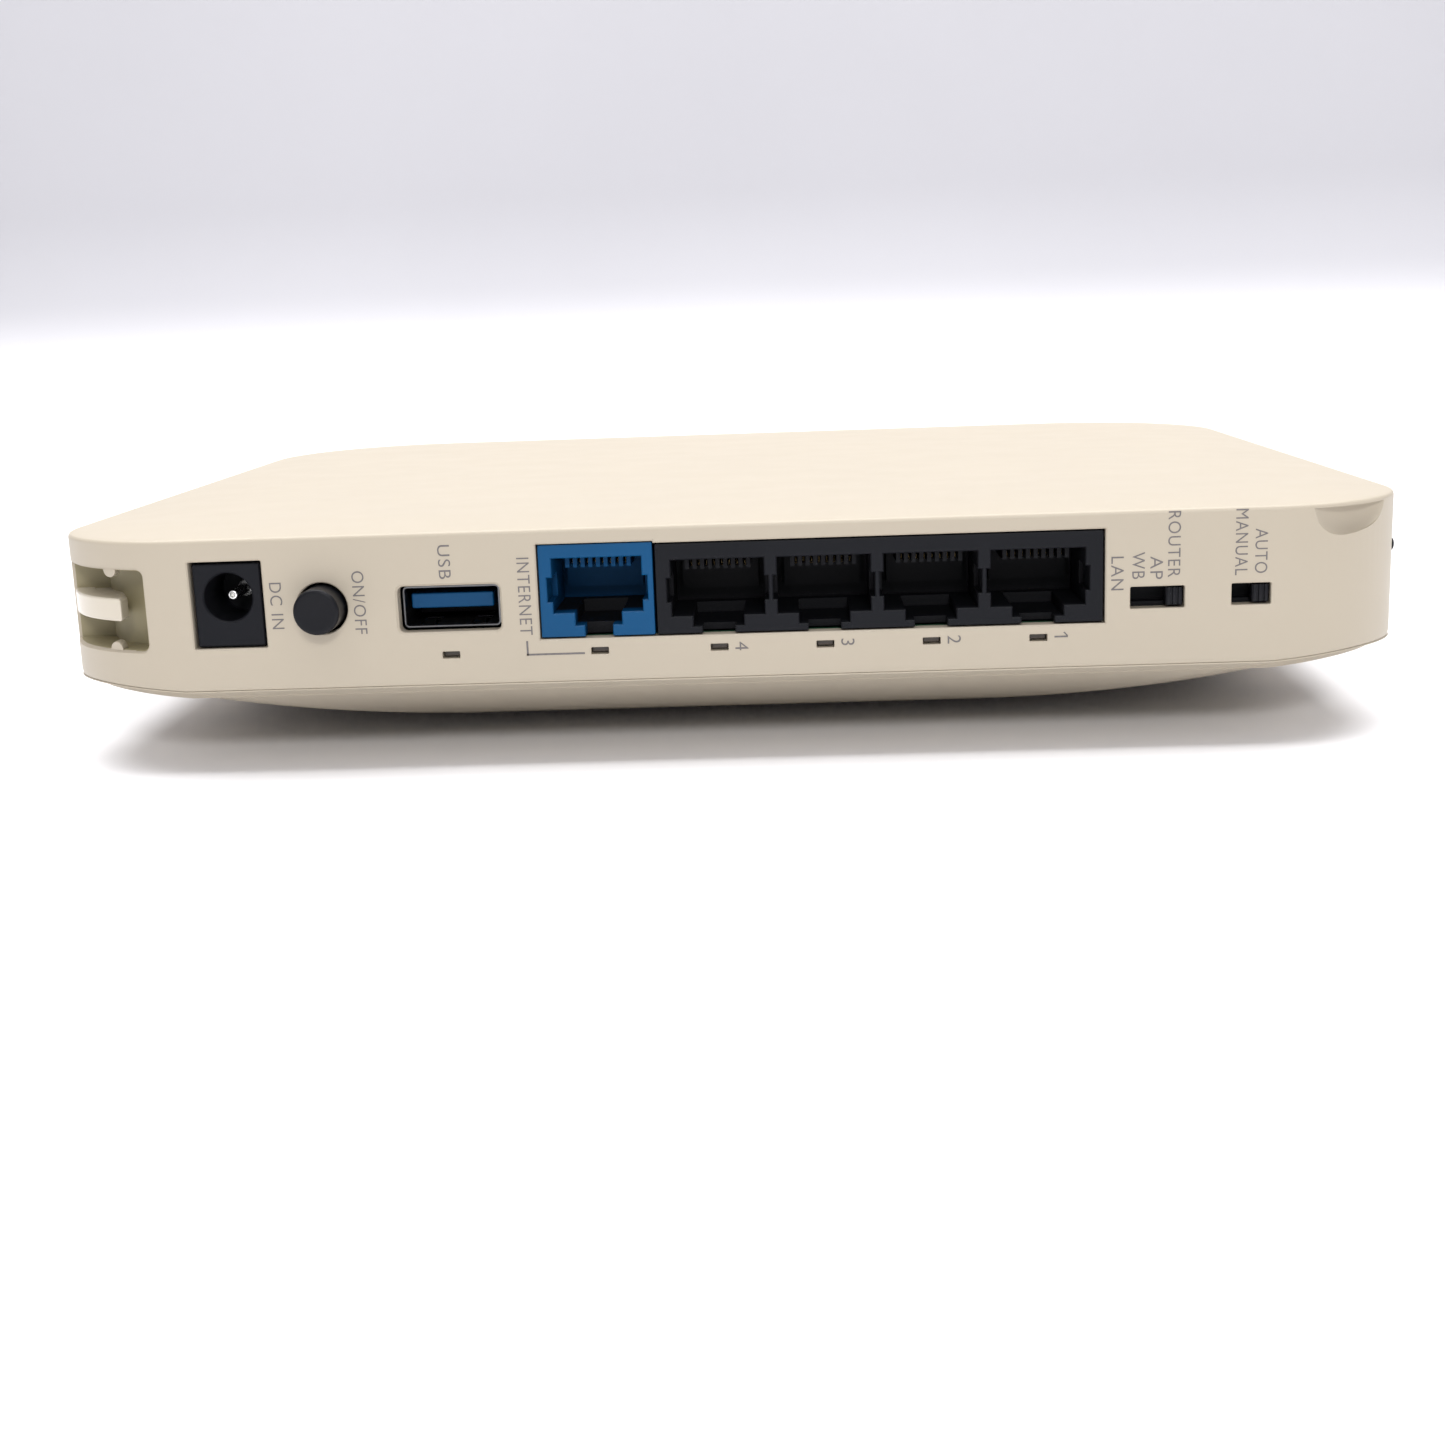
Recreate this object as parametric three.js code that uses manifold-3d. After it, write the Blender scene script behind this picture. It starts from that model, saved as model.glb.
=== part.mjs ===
// A small wireless router lying flat. Millimetres, +Z up, the port side faces -Y, and +X is to the right of
// someone who looks at the ports. The origin is on the underside, at the middle of the body's outline.
import * as THREE from "three";
import { mergeVertices } from "three/addons/utils/BufferGeometryUtils.js";
import Module from "manifold-3d";

const wasm = await Module();
wasm.setup();

// ---- Body ----
const HALF_WIDTH = 92.1;
const HALF_DEPTH = 80.5;
const REAR = -HALF_DEPTH;
const REAR_CORNER = 20;
const FRONT_CORNER = 30;
const CORNER_STEPS = 8;
const WALL = 2.3;
const ROOF = 1.8;
const BAND_TOP = 32;
const CROWN = 0.8;
const SEAM = 11.6;
const SEAM_GAP = 0.3;
const SEAM_CORNER_RISE = 0.85;
const SEAM_END_RISE = 0.3;
const GAP = 0.3;

// ---- Domed underside: how far it draws in towards the flat, and how sharply it turns at the rim ----
const DOME_LEVELS = 8;
const DOME_DRAW_Y = 45.5;
const DOME_DRAW_X = 22.5;
const DOME_RIM_X = 4.3;
const DOME_CORNER = 55;

// ---- Circuit board and what stands on it ----
const BOARD_TOP = 17.2;
const BOARD_THICK = 1.6;
const BOARD_UNDER = BOARD_TOP - BOARD_THICK;
const BOARD_REAR = -77.2;
const BOARD_FRONT = 50;
const SEAT = BOARD_TOP + GAP;

// ---- Network jacks ----
const JACK_FACE = REAR + 0.3;
const JACK_BACK = -60;
const JACK_TOP = 29.5;
const WAN_JACK_TOP = 29.8;
const WAN_JACK = { left: -24.0, right: -8.9, centre: -16.34 };
const LAN_JACK = { left: -8.6, right: 49.9, first: -0.48, pitch: 13.97, count: 4 };
const PORT_DEPTH = 14;
const SHOULDER_DEPTH = 6;
const KEY_DEPTH = 3;
const CONTACTS = { count: 8, pitch: 1.02, wire: 0.5 };
const WAN_PORT = {
  half: 5.95, top: 28, bottom: 20.7,
  shoulderHalf: 6.65, shoulderTop: 25.45, shoulderBottom: 22.2,
  latchHalf: 3.1, latchBottom: 19, keyHalf: 1.85,
};
const LAN_PORT = {
  half: 6.15, top: 27.3, bottom: 19.8,
  shoulderHalf: 6.7, shoulderTop: 24.9, shoulderBottom: 21.7,
  latchHalf: 3.35, latchBottom: 18.4, keyHalf: 2.15,
};

// ---- Other sockets and switches on the port side: centres in X and Z ----
const DC = {
  x: -65.55, z: 24.14, left: -70.45, right: -60.65, bottom: 17.3, top: 29,
  face: REAR + 0.6, clear: 0.35, bore: 3.25, boreDepth: 9.4, pin: 0.7,
};
const POWER = { x: -52.95, z: 22.39, hole: 3.42, cap: 3.05, proud: 3.6 };
const USB = {
  x: -36.05, z: 21.83, openWidth: 13.6, openHeight: 6.2,
  face: REAR + WALL, back: -66.5, width: 13.1, height: 5.7, sheet: 0.4,
};
const MODE = { left: 53.33, right: 60.41, bottom: 19.06, top: 21.97 };
const AUTO = { left: 66.44, right: 71.56, bottom: 19.17, top: 22.04 };
const KNOB_WIDTH = 2.2;
const SLOT_CLEAR = 0.14;
const SETUP = { y: -66, z: 24.6, hole: 1.25, cap: 0.95, flange: 1.7, tip: 91.5 };
const LAMP = { z: 15.62, width: 2.35, height: 0.95, recess: 1.1 };
const LAMP_USB_X = -36.16;

// ---- Recess for the stand's hook at the rear left corner ----
const HOOK = {
  right: -76.9, bottom: 17.2, top: 28, front: -66.2, deep: 5,
  bar: 3.1, barEnd: -80.6, barIn: 0.2,
};
const HOOK_PIP = { x: -82, r: 1, deep: 2.2 };

// ---- Dish for a fingertip: its place and tilt round the rear right corner are in degrees ----
const SCOOP = { at: 30, tilt: 36, inset: 0.3, long: 8.5, deep: 1.5, tall: 5, top: 31.4 };

// ---- Fixings ----
const CASE_SCREWS = [[-81.5, -45], [81.5, -45], [-81.5, 45], [81.5, 45]];
const BOARD_SCREWS = [[-70, -30], [70, -30], [-70, 43], [70, 43]];
const COUNTERBORE = { r: 3.2, top: 12 };
const TUBE = { r: 4.4, bore: 1.5 };
const BOSS = { r: 3.6, pilot: 1.4 };
const POST = { r: 3, pilot: 1.4 };

// ---- Heat sink over the processor ----
const HEAT_SINK = { halfWidth: 30, halfDepth: 20, plate: 1.6, tall: 7.4, fins: 9, fin: 1.2 };

// ---- Radio shields ----
const SHIELD = { halfWidth: 19, halfDepth: 15, tall: 3, sheet: 0.3, y: 12 };

// ---- Antennas, standing on edge behind the front wall ----
const ANTENNAS = [["low_band", -42], ["high_band", 42]];
const ANTENNA = { y: 72, half: 17, thick: 1, low: 16, high: 28, spread: 10 };

// ---- Finishes ----
const finish = (colour, roughness, metalness = 0) =>
  new THREE.MeshStandardMaterial({ color: colour, roughness, metalness });
const IVORY = () => finish(0xd9cfbf, 0.5);
const BLACK = () => finish(0x15161a, 0.45);
const BLUE = () => finish(0x2a78b4, 0.4);
const GREEN = () => finish(0x1e5a34, 0.5);
const STEEL = () => finish(0xb9bcc0, 0.3, 1);
const GOLD = () => finish(0xd8a848, 0.3, 1);
const CLEAR = () => finish(0xd7dbdc, 0.25);

// ---- Geometry helpers ----

// A closed geometry as a solid that can be joined and cut.
function solid(geometry) {
  const bare = geometry.clone();
  bare.deleteAttribute("normal");
  bare.deleteAttribute("uv");
  const merged = mergeVertices(bare, 1e-4);
  const mesh = new wasm.Mesh({
    numProp: 3,
    vertProperties: merged.attributes.position.array,
    triVerts: new Uint32Array(merged.index.array),
  });
  return new wasm.Manifold(mesh);
}

const join = (solids) => solids.reduce((whole, next) => whole.add(next));

// A box between two corners.
function block(x0, y0, z0, x1, y1, z1) {
  const box = new THREE.BoxGeometry(x1 - x0, y1 - y0, z1 - z0);
  return solid(box.translate((x0 + x1) / 2, (y0 + y1) / 2, (z0 + z1) / 2));
}

// Round bars along each axis, from one end to the other.
function rodX(y, z, radius, x0, x1, sides = 20) {
  const rod = new THREE.CylinderGeometry(radius, radius, x1 - x0, sides);
  return solid(rod.rotateZ(Math.PI / 2).translate((x0 + x1) / 2, y, z));
}

function rodY(x, z, radius, y0, y1, sides = 24) {
  const rod = new THREE.CylinderGeometry(radius, radius, y1 - y0, sides);
  return solid(rod.translate(x, (y0 + y1) / 2, z));
}

function rodZ(x, y, radius, z0, z1, sides = 16) {
  const rod = new THREE.CylinderGeometry(radius, radius, z1 - z0, sides);
  return solid(rod.rotateX(Math.PI / 2).translate(x, y, (z0 + z1) / 2));
}

// A rectangle with round corners, between two corners of a plane.
function roundRect(u0, v0, u1, v1, r) {
  const shape = new THREE.Shape();
  shape.absarc(u0 + r, v0 + r, r, Math.PI, 1.5 * Math.PI);
  shape.absarc(u1 - r, v0 + r, r, -0.5 * Math.PI, 0);
  shape.absarc(u1 - r, v1 - r, r, 0, 0.5 * Math.PI);
  shape.absarc(u0 + r, v1 - r, r, 0.5 * Math.PI, Math.PI);
  return shape;
}

// A shape drawn in X and Z, extruded along Y from front to back.
function alongY(shape, yFront, yBack, curveSegments = 4) {
  const depth = yBack - yFront;
  const run = new THREE.ExtrudeGeometry(shape, { depth, bevelEnabled: false, curveSegments });
  return solid(run.rotateX(Math.PI / 2).translate(0, yBack, 0));
}

// A shape drawn in X and Y, extruded upwards.
function alongZ(shape, zLow, zHigh, curveSegments = 4) {
  const depth = zHigh - zLow;
  const run = new THREE.ExtrudeGeometry(shape, { depth, bevelEnabled: false, curveSegments });
  return solid(run.translate(0, 0, zLow));
}

// The body's outline in plan, drawn in by some amount, counter-clockwise from the rear left corner.
// Each point also has the height by which the seam rises there: it is lowest along the long sides.
function outline(drawX, drawY, rearRadius, frontRadius) {
  const x = HALF_WIDTH - drawX;
  const y = HALF_DEPTH - drawY;
  const corners = [
    [-x, -y, rearRadius, Math.PI],
    [x, -y, rearRadius, 1.5 * Math.PI],
    [x, y, frontRadius, 0],
    [-x, y, frontRadius, 0.5 * Math.PI],
  ];
  const points = [];
  corners.forEach(([cornerX, cornerY, radius, start], corner) => {
    const centreX = cornerX - Math.sign(cornerX) * radius;
    const centreY = cornerY - Math.sign(cornerY) * radius;
    for (let i = 0; i <= CORNER_STEPS; i++) {
      const along = i / CORNER_STEPS;
      const turn = start + along * (Math.PI / 2);
      const towardsEnd = corner % 2 === 0 ? 1 - along : along;
      const rise = SEAM_CORNER_RISE * Math.sin(Math.PI * along) + SEAM_END_RISE * towardsEnd ** 2;
      points.push([centreX + radius * Math.cos(turn), centreY + radius * Math.sin(turn), rise]);
    }
  });
  return points;
}

// The body's own outline moved inwards by a distance, as a level at height z. With a lift of 1 it rises with
// the seam, and with 0 it is flat.
function level(z, inset, lift = 0) {
  return { z, lift, ring: outline(inset, inset, REAR_CORNER - inset, FRONT_CORNER - inset) };
}

// A closed skin over levels that rise in Z, each with the same number of points.
function loft(levels) {
  const count = levels[0].ring.length;
  const positions = [];
  const index = [];
  for (const { z, lift, ring } of levels) {
    for (const [x, y, rise] of ring) {
      positions.push(x, y, z + lift * rise);
    }
  }
  for (let row = 0; row + 1 < levels.length; row++) {
    for (let i = 0; i < count; i++) {
      const a = row * count + i;
      const b = row * count + ((i + 1) % count);
      index.push(a, b, b + count, a, b + count, a + count);
    }
  }
  const lowCentre = positions.length / 3;
  positions.push(0, 0, levels[0].z);
  positions.push(0, 0, levels.at(-1).z);
  const topRow = (levels.length - 1) * count;
  for (let i = 0; i < count; i++) {
    const j = (i + 1) % count;
    index.push(lowCentre, j, i, lowCentre + 1, topRow + i, topRow + j);
  }
  const skin = new THREE.BufferGeometry();
  skin.setAttribute("position", new THREE.Float32BufferAttribute(positions, 3));
  skin.setIndex(index);
  return solid(skin);
}

// One level of the domed underside. At 0 it is the rim at the seam, and at 1 the flat that it rests on.
function domeLevel(t, inset, raise) {
  const rim = SEAM - SEAM_GAP / 2;
  const z = (rim - raise) * (1 - t) ** 2 + raise;
  const drawX = DOME_RIM_X * (1 - (1 - t) ** 12) + DOME_DRAW_X * t ** 1.24 + inset;
  const drawY = DOME_DRAW_Y * t + inset;
  const rear = Math.min(REAR_CORNER + (DOME_CORNER - REAR_CORNER) * t, HALF_DEPTH - drawY);
  const front = Math.min(FRONT_CORNER + (DOME_CORNER - FRONT_CORNER) * t, HALF_DEPTH - drawY);
  return { z, lift: 1 - t, ring: outline(drawX, drawY, rear - inset / 2, front - inset / 2) };
}

function dome(inset, raise) {
  const levels = [];
  for (let i = DOME_LEVELS; i >= 0; i--) {
    levels.push(domeLevel(i / DOME_LEVELS, inset, raise));
  }
  return levels;
}

// ---- Casing ----

// The top and the side band in one moulding, with every opening of the port side.
function topCover() {
  const low = SEAM + SEAM_GAP / 2;
  const outside = loft([
    level(low, 0, 1),
    level(BAND_TOP - 0.7, 0),
    level(BAND_TOP - 0.2, 0.25),
    level(BAND_TOP, 0.8),
    level(BAND_TOP + 0.6 * CROWN, 8),
    level(BAND_TOP + CROWN, 18),
  ]);
  const inside = loft([level(low - 1, WALL), level(BAND_TOP - ROOF, WALL)]);
  let cover = outside.subtract(inside);
  cover = cover.add(hookPocket(outside)).subtract(hookCut());
  cover = join([cover, hookBar(outside), ...hookPips(outside), ...topBosses(), ...antennaPosts()]);
  cover = cover.subtract(join(portOpenings()));
  return cover.subtract(fingerScoop());
}

// Walls round the recess for the stand's hook.
function hookPocket(outside) {
  const room = block(
    -HALF_WIDTH, REAR, HOOK.bottom - WALL,
    HOOK.right + WALL, HOOK.front + WALL, HOOK.top + WALL - 0.1,
  );
  const core = loft([level(0, HOOK.deep + WALL), level(BAND_TOP, HOOK.deep + WALL)]);
  return outside.intersect(room).subtract(core);
}

function hookCut() {
  const mouth = block(
    -HALF_WIDTH - 1, REAR - 1, HOOK.bottom,
    HOOK.right, HOOK.front, HOOK.top,
  );
  const core = loft([level(0, HOOK.deep), level(BAND_TOP, HOOK.deep)]);
  return mouth.subtract(core);
}

// The bar across the middle of the recess that the hook snaps over.
function hookBar(outside) {
  const middle = (HOOK.bottom + HOOK.top) / 2;
  const strip = block(
    -HALF_WIDTH, REAR, middle - HOOK.bar / 2,
    HOOK.barEnd, HOOK.front + 1, middle + HOOK.bar / 2,
  );
  const core = loft([level(0, HOOK.deep + 1), level(BAND_TOP, HOOK.deep + 1)]);
  const skin = loft([level(0, HOOK.barIn), level(BAND_TOP, HOOK.barIn)]);
  return strip.intersect(outside).intersect(skin).subtract(core);
}

// Two half-round snaps on the recess's upper and lower edges.
function hookPips(outside) {
  const skin = loft([level(0, 0.2), level(BAND_TOP, 0.2)]);
  const core = loft([level(0, HOOK_PIP.deep), level(BAND_TOP, HOOK_PIP.deep)]);
  return [HOOK.bottom, HOOK.top].map((z) =>
    rodY(HOOK_PIP.x, z, HOOK_PIP.r, REAR, REAR + 12, 16).intersect(skin).subtract(core));
}

// Posts under the top that the case screws bite into.
function topBosses() {
  return CASE_SCREWS.map(([x, y]) =>
    rodZ(x, y, BOSS.r, SEAM + 6, BAND_TOP - 1).subtract(rodZ(x, y, BOSS.pilot, SEAM + 5, BAND_TOP - 6, 12)));
}

// Pairs of posts under the top that hold each antenna on edge.
function antennaPosts() {
  const near = ANTENNA.thick / 2 + GAP;
  const far = near + 1.3;
  return ANTENNAS.flatMap(([, x]) => [-1, 1].flatMap((side) => {
    const at = x + side * ANTENNA.spread;
    return [
      block(at - 1, ANTENNA.y - far, 20, at + 1, ANTENNA.y - near, BAND_TOP - 1),
      block(at - 1, ANTENNA.y + near, 20, at + 1, ANTENNA.y + far, BAND_TOP - 1),
    ];
  }));
}

// A shallow dish for a fingertip round the rear right corner, deepest at its right end. The band's top edge
// goes on above it as a thin lip.
function fingerScoop() {
  const radians = Math.PI / 180;
  const reach = REAR_CORNER - SCOOP.inset;
  const dish = new THREE.SphereGeometry(1, 22, 14);
  dish.scale(SCOOP.long, SCOOP.deep, SCOOP.tall).rotateZ(SCOOP.tilt * radians);
  dish.translate(
    HALF_WIDTH - REAR_CORNER + reach * Math.sin(SCOOP.at * radians),
    REAR + REAR_CORNER - reach * Math.cos(SCOOP.at * radians),
    BAND_TOP + 0.6,
  );
  return solid(dish).intersect(block(0, REAR - 1, 0, HALF_WIDTH + 1, 0, SCOOP.top));
}

function portOpenings() {
  const front = REAR - 1;
  const back = REAR + WALL + 0.6;
  const window = (x0, z0, x1, z1, r) => alongY(roundRect(x0, z0, x1, z1, r), front, back);
  const lamps = [LAMP_USB_X, WAN_JACK.centre, ...lanCentres()];
  return [
    window(WAN_JACK.left - 0.2, SEAT - 0.2, WAN_JACK.right + 0.6, WAN_JACK_TOP + 0.2, 0.3),
    window(LAN_JACK.left - 0.5, SEAT - 0.2, LAN_JACK.right + 0.2, JACK_TOP + 0.2, 0.3),
    window(DC.left, DC.bottom, DC.right, DC.top, 0.3),
    window(
      USB.x - USB.openWidth / 2, USB.z - USB.openHeight / 2,
      USB.x + USB.openWidth / 2, USB.z + USB.openHeight / 2, 0.7,
    ),
    window(MODE.left, MODE.bottom, MODE.right, MODE.top, 0.25),
    window(AUTO.left, AUTO.bottom, AUTO.right, AUTO.top, 0.25),
    ...lamps.map((x) => window(
      x - LAMP.width / 2, LAMP.z - LAMP.height / 2,
      x + LAMP.width / 2, LAMP.z + LAMP.height / 2, 0.3,
    )),
    rodY(POWER.x, POWER.z, POWER.hole, front, back, 28),
    rodX(SETUP.y, SETUP.z, SETUP.hole, HALF_WIDTH - 6, HALF_WIDTH + 2),
  ];
}

const lanCentres = () =>
  Array.from({ length: LAN_JACK.count }, (_, i) => LAN_JACK.first + i * LAN_JACK.pitch);

// The domed bottom, with its lip inside the band, screw tubes and board posts.
function bottomCover() {
  const rim = SEAM - SEAM_GAP / 2;
  const outside = loft(dome(0, 0));
  const inside = loft([...dome(WALL, WALL), { ...domeLevel(0, WALL, WALL), z: rim + 1 }]);
  const lipOut = WALL + 0.35;
  const lipIn = WALL + 1.4;
  const lip = loft([level(rim - 1.6, lipOut), level(rim + 1.9, lipOut, 1)])
    .subtract(loft([level(rim - 2, lipIn), level(rim + 4, lipIn)]));
  const tubes = CASE_SCREWS.map(([x, y]) => rodZ(x, y, TUBE.r, 1, SEAM + 5.6, 20));
  const posts = BOARD_SCREWS.map(([x, y]) => rodZ(x, y, POST.r, 1, BOARD_UNDER - GAP));
  const wells = CASE_SCREWS.flatMap(([x, y]) => [
    rodZ(x, y, COUNTERBORE.r, -1, COUNTERBORE.top, 20),
    rodZ(x, y, TUBE.bore, COUNTERBORE.top - 1, SEAM + 7, 12),
  ]);
  const pilots = BOARD_SCREWS.map(([x, y]) => rodZ(x, y, POST.pilot, BOARD_UNDER - 7, BOARD_UNDER, 12));
  const overDome = loft([...dome(0, 0), { ...domeLevel(0, 0, 0), z: BAND_TOP }]);
  const innerParts = join([lip, ...posts, ...tubes]).intersect(overDome);
  return outside.subtract(inside).add(innerParts).subtract(join([...wells, ...pilots]));
}

// ---- Board ----

function mainBoard() {
  const edge = [
    [-73.5, BOARD_REAR], [76, BOARD_REAR], [85.5, -70], [85.5, -53], [76, -51],
    [76, BOARD_FRONT], [-74.3, BOARD_FRONT], [-74.3, -76],
  ];
  const shape = new THREE.Shape(edge.map(([x, y]) => new THREE.Vector2(x, y)));
  const sheet = alongZ(shape, BOARD_UNDER, BOARD_TOP);
  return sheet.subtract(join(BOARD_SCREWS.map(([x, y]) => rodZ(x, y, 1.6, 0, BAND_TOP, 12))));
}

// ---- Network jacks ----

// One port's hollow, centred on X: the plug's way, its shoulders, the latch notch and the open key below it.
function portHollow(x, port) {
  const front = JACK_FACE - 1;
  const back = JACK_FACE + PORT_DEPTH;
  return join([
    block(x - port.half, front, port.bottom, x + port.half, back, port.top),
    block(
      x - port.shoulderHalf, front, port.shoulderBottom,
      x + port.shoulderHalf, JACK_FACE + SHOULDER_DEPTH, port.shoulderTop,
    ),
    block(x - port.latchHalf, front, port.latchBottom, x + port.latchHalf, back - 2, port.bottom + 1),
    block(x - port.keyHalf, front, SEAT - 1, x + port.keyHalf, JACK_FACE + KEY_DEPTH, port.latchBottom + 1),
  ]);
}

function jack({ left, right }, top, port, centres) {
  const hollows = centres.map((x) => portHollow(x, port));
  return block(left, JACK_FACE, SEAT, right, JACK_BACK, top).subtract(join(hollows));
}

// Sprung wires that slope down into a port, held in a block at its back. Centred on X, at the port's top.
function contactInsert() {
  const back = JACK_FACE + PORT_DEPTH - GAP;
  const profile = new THREE.Shape([
    new THREE.Vector2(JACK_FACE + 2.6, -0.35),
    new THREE.Vector2(JACK_FACE + 2.6, -0.7),
    new THREE.Vector2(back - 1, -2.2),
    new THREE.Vector2(back - 1, -1.8),
  ]);
  const wire = new THREE.ExtrudeGeometry(profile, { depth: CONTACTS.wire, bevelEnabled: false });
  wire.rotateX(Math.PI / 2).rotateZ(Math.PI / 2);
  const first = -((CONTACTS.count - 1) * CONTACTS.pitch + CONTACTS.wire) / 2;
  const comb = Array.from({ length: CONTACTS.count }, (_, i) =>
    solid(wire.clone().translate(first + i * CONTACTS.pitch, 0, 0)));
  const holder = block(-5.2, back - 1.4, -5.6, 5.2, back, -0.4);
  return join([holder, ...comb]);
}

// ---- Supply socket ----

function dcHousing() {
  const left = DC.left + DC.clear;
  const right = DC.right - DC.clear;
  const end = DC.face + DC.boreDepth;
  const body = block(left, DC.face, SEAT, right, -65.8, DC.top - DC.clear);
  const bore = rodY(DC.x, DC.z, DC.bore, DC.face - 1, end);
  const springSlot = block(DC.x + 2.4, DC.face + 1.6, DC.z - 1.2, DC.x + 4.1, end, DC.z + 1.2);
  return body.subtract(bore).subtract(springSlot);
}

// The centre pin is a lathe turned about the Y axis, with a hollow tip and a foot at the bore's end.
function dcPin() {
  const length = 6.9;
  const profile = [
    [0, 0], [2.2, 0], [2.2, 0.8], [DC.pin, 0.8], [DC.pin, length - 0.25], [DC.pin - 0.2, length],
    [0.35, length], [0.35, length - 1.5], [0, length - 1.5],
  ].map(([r, h]) => new THREE.Vector2(r, h));
  const pin = new THREE.LatheGeometry(profile, 16);
  return solid(pin.rotateX(Math.PI).translate(DC.x, DC.face + DC.boreDepth - GAP, DC.z));
}

function dcSpring() {
  const leaf = new THREE.Shape([
    new THREE.Vector2(DC.x + 2.75, DC.face + 2.2),
    new THREE.Vector2(DC.x + 3.1, DC.face + 2.2),
    new THREE.Vector2(DC.x + 2.95, DC.face + 5),
    new THREE.Vector2(DC.x + 3.7, DC.face + 9),
    new THREE.Vector2(DC.x + 3.35, DC.face + 9),
    new THREE.Vector2(DC.x + 2.6, DC.face + 5),
  ]);
  return alongZ(leaf, DC.z - 0.8, DC.z + 0.8);
}

// ---- Memory stick socket ----

function usbShell() {
  const halfW = USB.width / 2;
  const halfH = USB.height / 2;
  const outer = roundRect(USB.x - halfW, USB.z - halfH, USB.x + halfW, USB.z + halfH, 0.7);
  const inW = halfW - USB.sheet;
  const inH = halfH - USB.sheet;
  const inner = roundRect(USB.x - inW, USB.z - inH, USB.x + inW, USB.z + inH, 0.35);
  return alongY(outer, USB.face, USB.back).subtract(alongY(inner, USB.face - 1, USB.back + 1));
}

function usbTongue() {
  const tongue = block(USB.x - 5.5, USB.face + 0.8, USB.z + 0.2, USB.x + 5.5, -69, USB.z + 2.04);
  const root = block(USB.x - 5.8, -70, USB.z - 2.1, USB.x + 5.8, -66.8, USB.z + 2.1);
  return tongue.add(root);
}

// ---- Switches ----

function powerSwitchBody() {
  const body = block(POWER.x - 4.2, -74.2, SEAT, POWER.x + 4.2, -61.5, POWER.z + 4.2);
  return body.subtract(block(POWER.x - 1.9, -75, POWER.z - 1.9, POWER.x + 1.9, -67.5, POWER.z + 1.9));
}

// Round cap with a rounded face on a square stem that runs into the switch.
function powerButton() {
  const face = REAR - POWER.proud;
  const back = -76.6;
  const round = 0.5;
  const profile = [
    [0, 0], [POWER.cap, 0], [POWER.cap, back - face - round],
    [POWER.cap - 0.15, back - face - 0.15], [POWER.cap - round, back - face], [0, back - face],
  ].map(([r, h]) => new THREE.Vector2(r, h));
  const cap = solid(new THREE.LatheGeometry(profile, 28).rotateX(Math.PI).translate(POWER.x, back, POWER.z));
  return cap.add(block(POWER.x - 1.5, back - 1, POWER.z - 1.5, POWER.x + 1.5, -70, POWER.z + 1.5));
}

// A slide switch behind a slot of the case, with a channel that its knob's stem runs in.
function slideSwitchBody(slot) {
  const middle = (slot.bottom + slot.top) / 2;
  const body = block(slot.left - 1.6, -77.9, SEAT, slot.right + 1.6, -72.5, slot.top + 1.6);
  return body.subtract(block(slot.left, -79, middle - 0.9, slot.right, -76.2, middle + 0.9));
}

function sliderKnob(slot) {
  const middle = (slot.bottom + slot.top) / 2;
  const right = slot.right - SLOT_CLEAR;
  const left = right - KNOB_WIDTH;
  const knob = block(left, REAR + 0.5, slot.bottom + 0.25, right, -78.15, slot.top - 0.25);
  return knob.add(block(left + 0.3, -79, middle - 0.65, right - 0.3, -76.6, middle + 0.65));
}

function setupSwitchBody() {
  const body = block(79.5, SETUP.y - 3, SEAT, 85.2, SETUP.y + 3, SETUP.z + 3);
  return body.add(rodX(SETUP.y, SETUP.z, 1.5, 85, 85.9, 12));
}

// Small domed button with a flange behind the wall that keeps it in.
function setupButton() {
  const back = 86.4;
  const profile = [
    [0, 0], [1.2, 0], [1.2, 0.5], [SETUP.flange, 0.5], [SETUP.flange, 1.1], [SETUP.cap, 1.1],
    [SETUP.cap, SETUP.tip - back - 0.35], [SETUP.cap * 0.6, SETUP.tip - back - 0.08], [0, SETUP.tip - back],
  ].map(([r, h]) => new THREE.Vector2(r, h));
  const button = new THREE.LatheGeometry(profile, 20);
  return solid(button.rotateZ(-Math.PI / 2).translate(back, SETUP.y, SETUP.z));
}

// ---- Lamps ----

// Clear tips that fill the lamp slots, joined behind the wall by a bar in front of the lamps.
function lightGuide(centres) {
  const tips = centres.map((x) => {
    const halfW = LAMP.width / 2 - 0.12;
    const halfH = LAMP.height / 2 - 0.12;
    return block(x - halfW, REAR + LAMP.recess, LAMP.z - halfH, x + halfW, -77.8, LAMP.z + halfH);
  });
  const bar = block(centres[0] - 1.8, -77.95, 13.9, centres.at(-1) + 1.8, -77.5, 16.2);
  return join([bar, ...tips]);
}

// ---- Assembly ----
const router = new THREE.Group();
const casing = new THREE.Group();
const electronics = new THREE.Group();
router.add(casing, electronics);

// Adds one named piece to a group, at a place.
function piece(group, name, shape, material, place = [0, 0, 0]) {
  const { vertProperties, triVerts, numProp, numVert } = shape.getMesh();
  const positions = new Float32Array(numVert * 3);
  for (let i = 0; i < numVert; i++) {
    positions.set(vertProperties.subarray(i * numProp, i * numProp + 3), i * 3);
  }
  const geometry = new THREE.BufferGeometry();
  geometry.setAttribute("position", new THREE.BufferAttribute(positions, 3));
  geometry.setIndex(new THREE.BufferAttribute(triVerts, 1));
  geometry.computeVertexNormals();
  const mesh = new THREE.Mesh(geometry, material);
  mesh.name = name;
  mesh.position.set(...place);
  group.add(mesh);
}

piece(casing, "top_cover", topCover(), IVORY());
piece(casing, "bottom_cover", bottomCover(), IVORY());
piece(electronics, "main_board", mainBoard(), GREEN());

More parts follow.
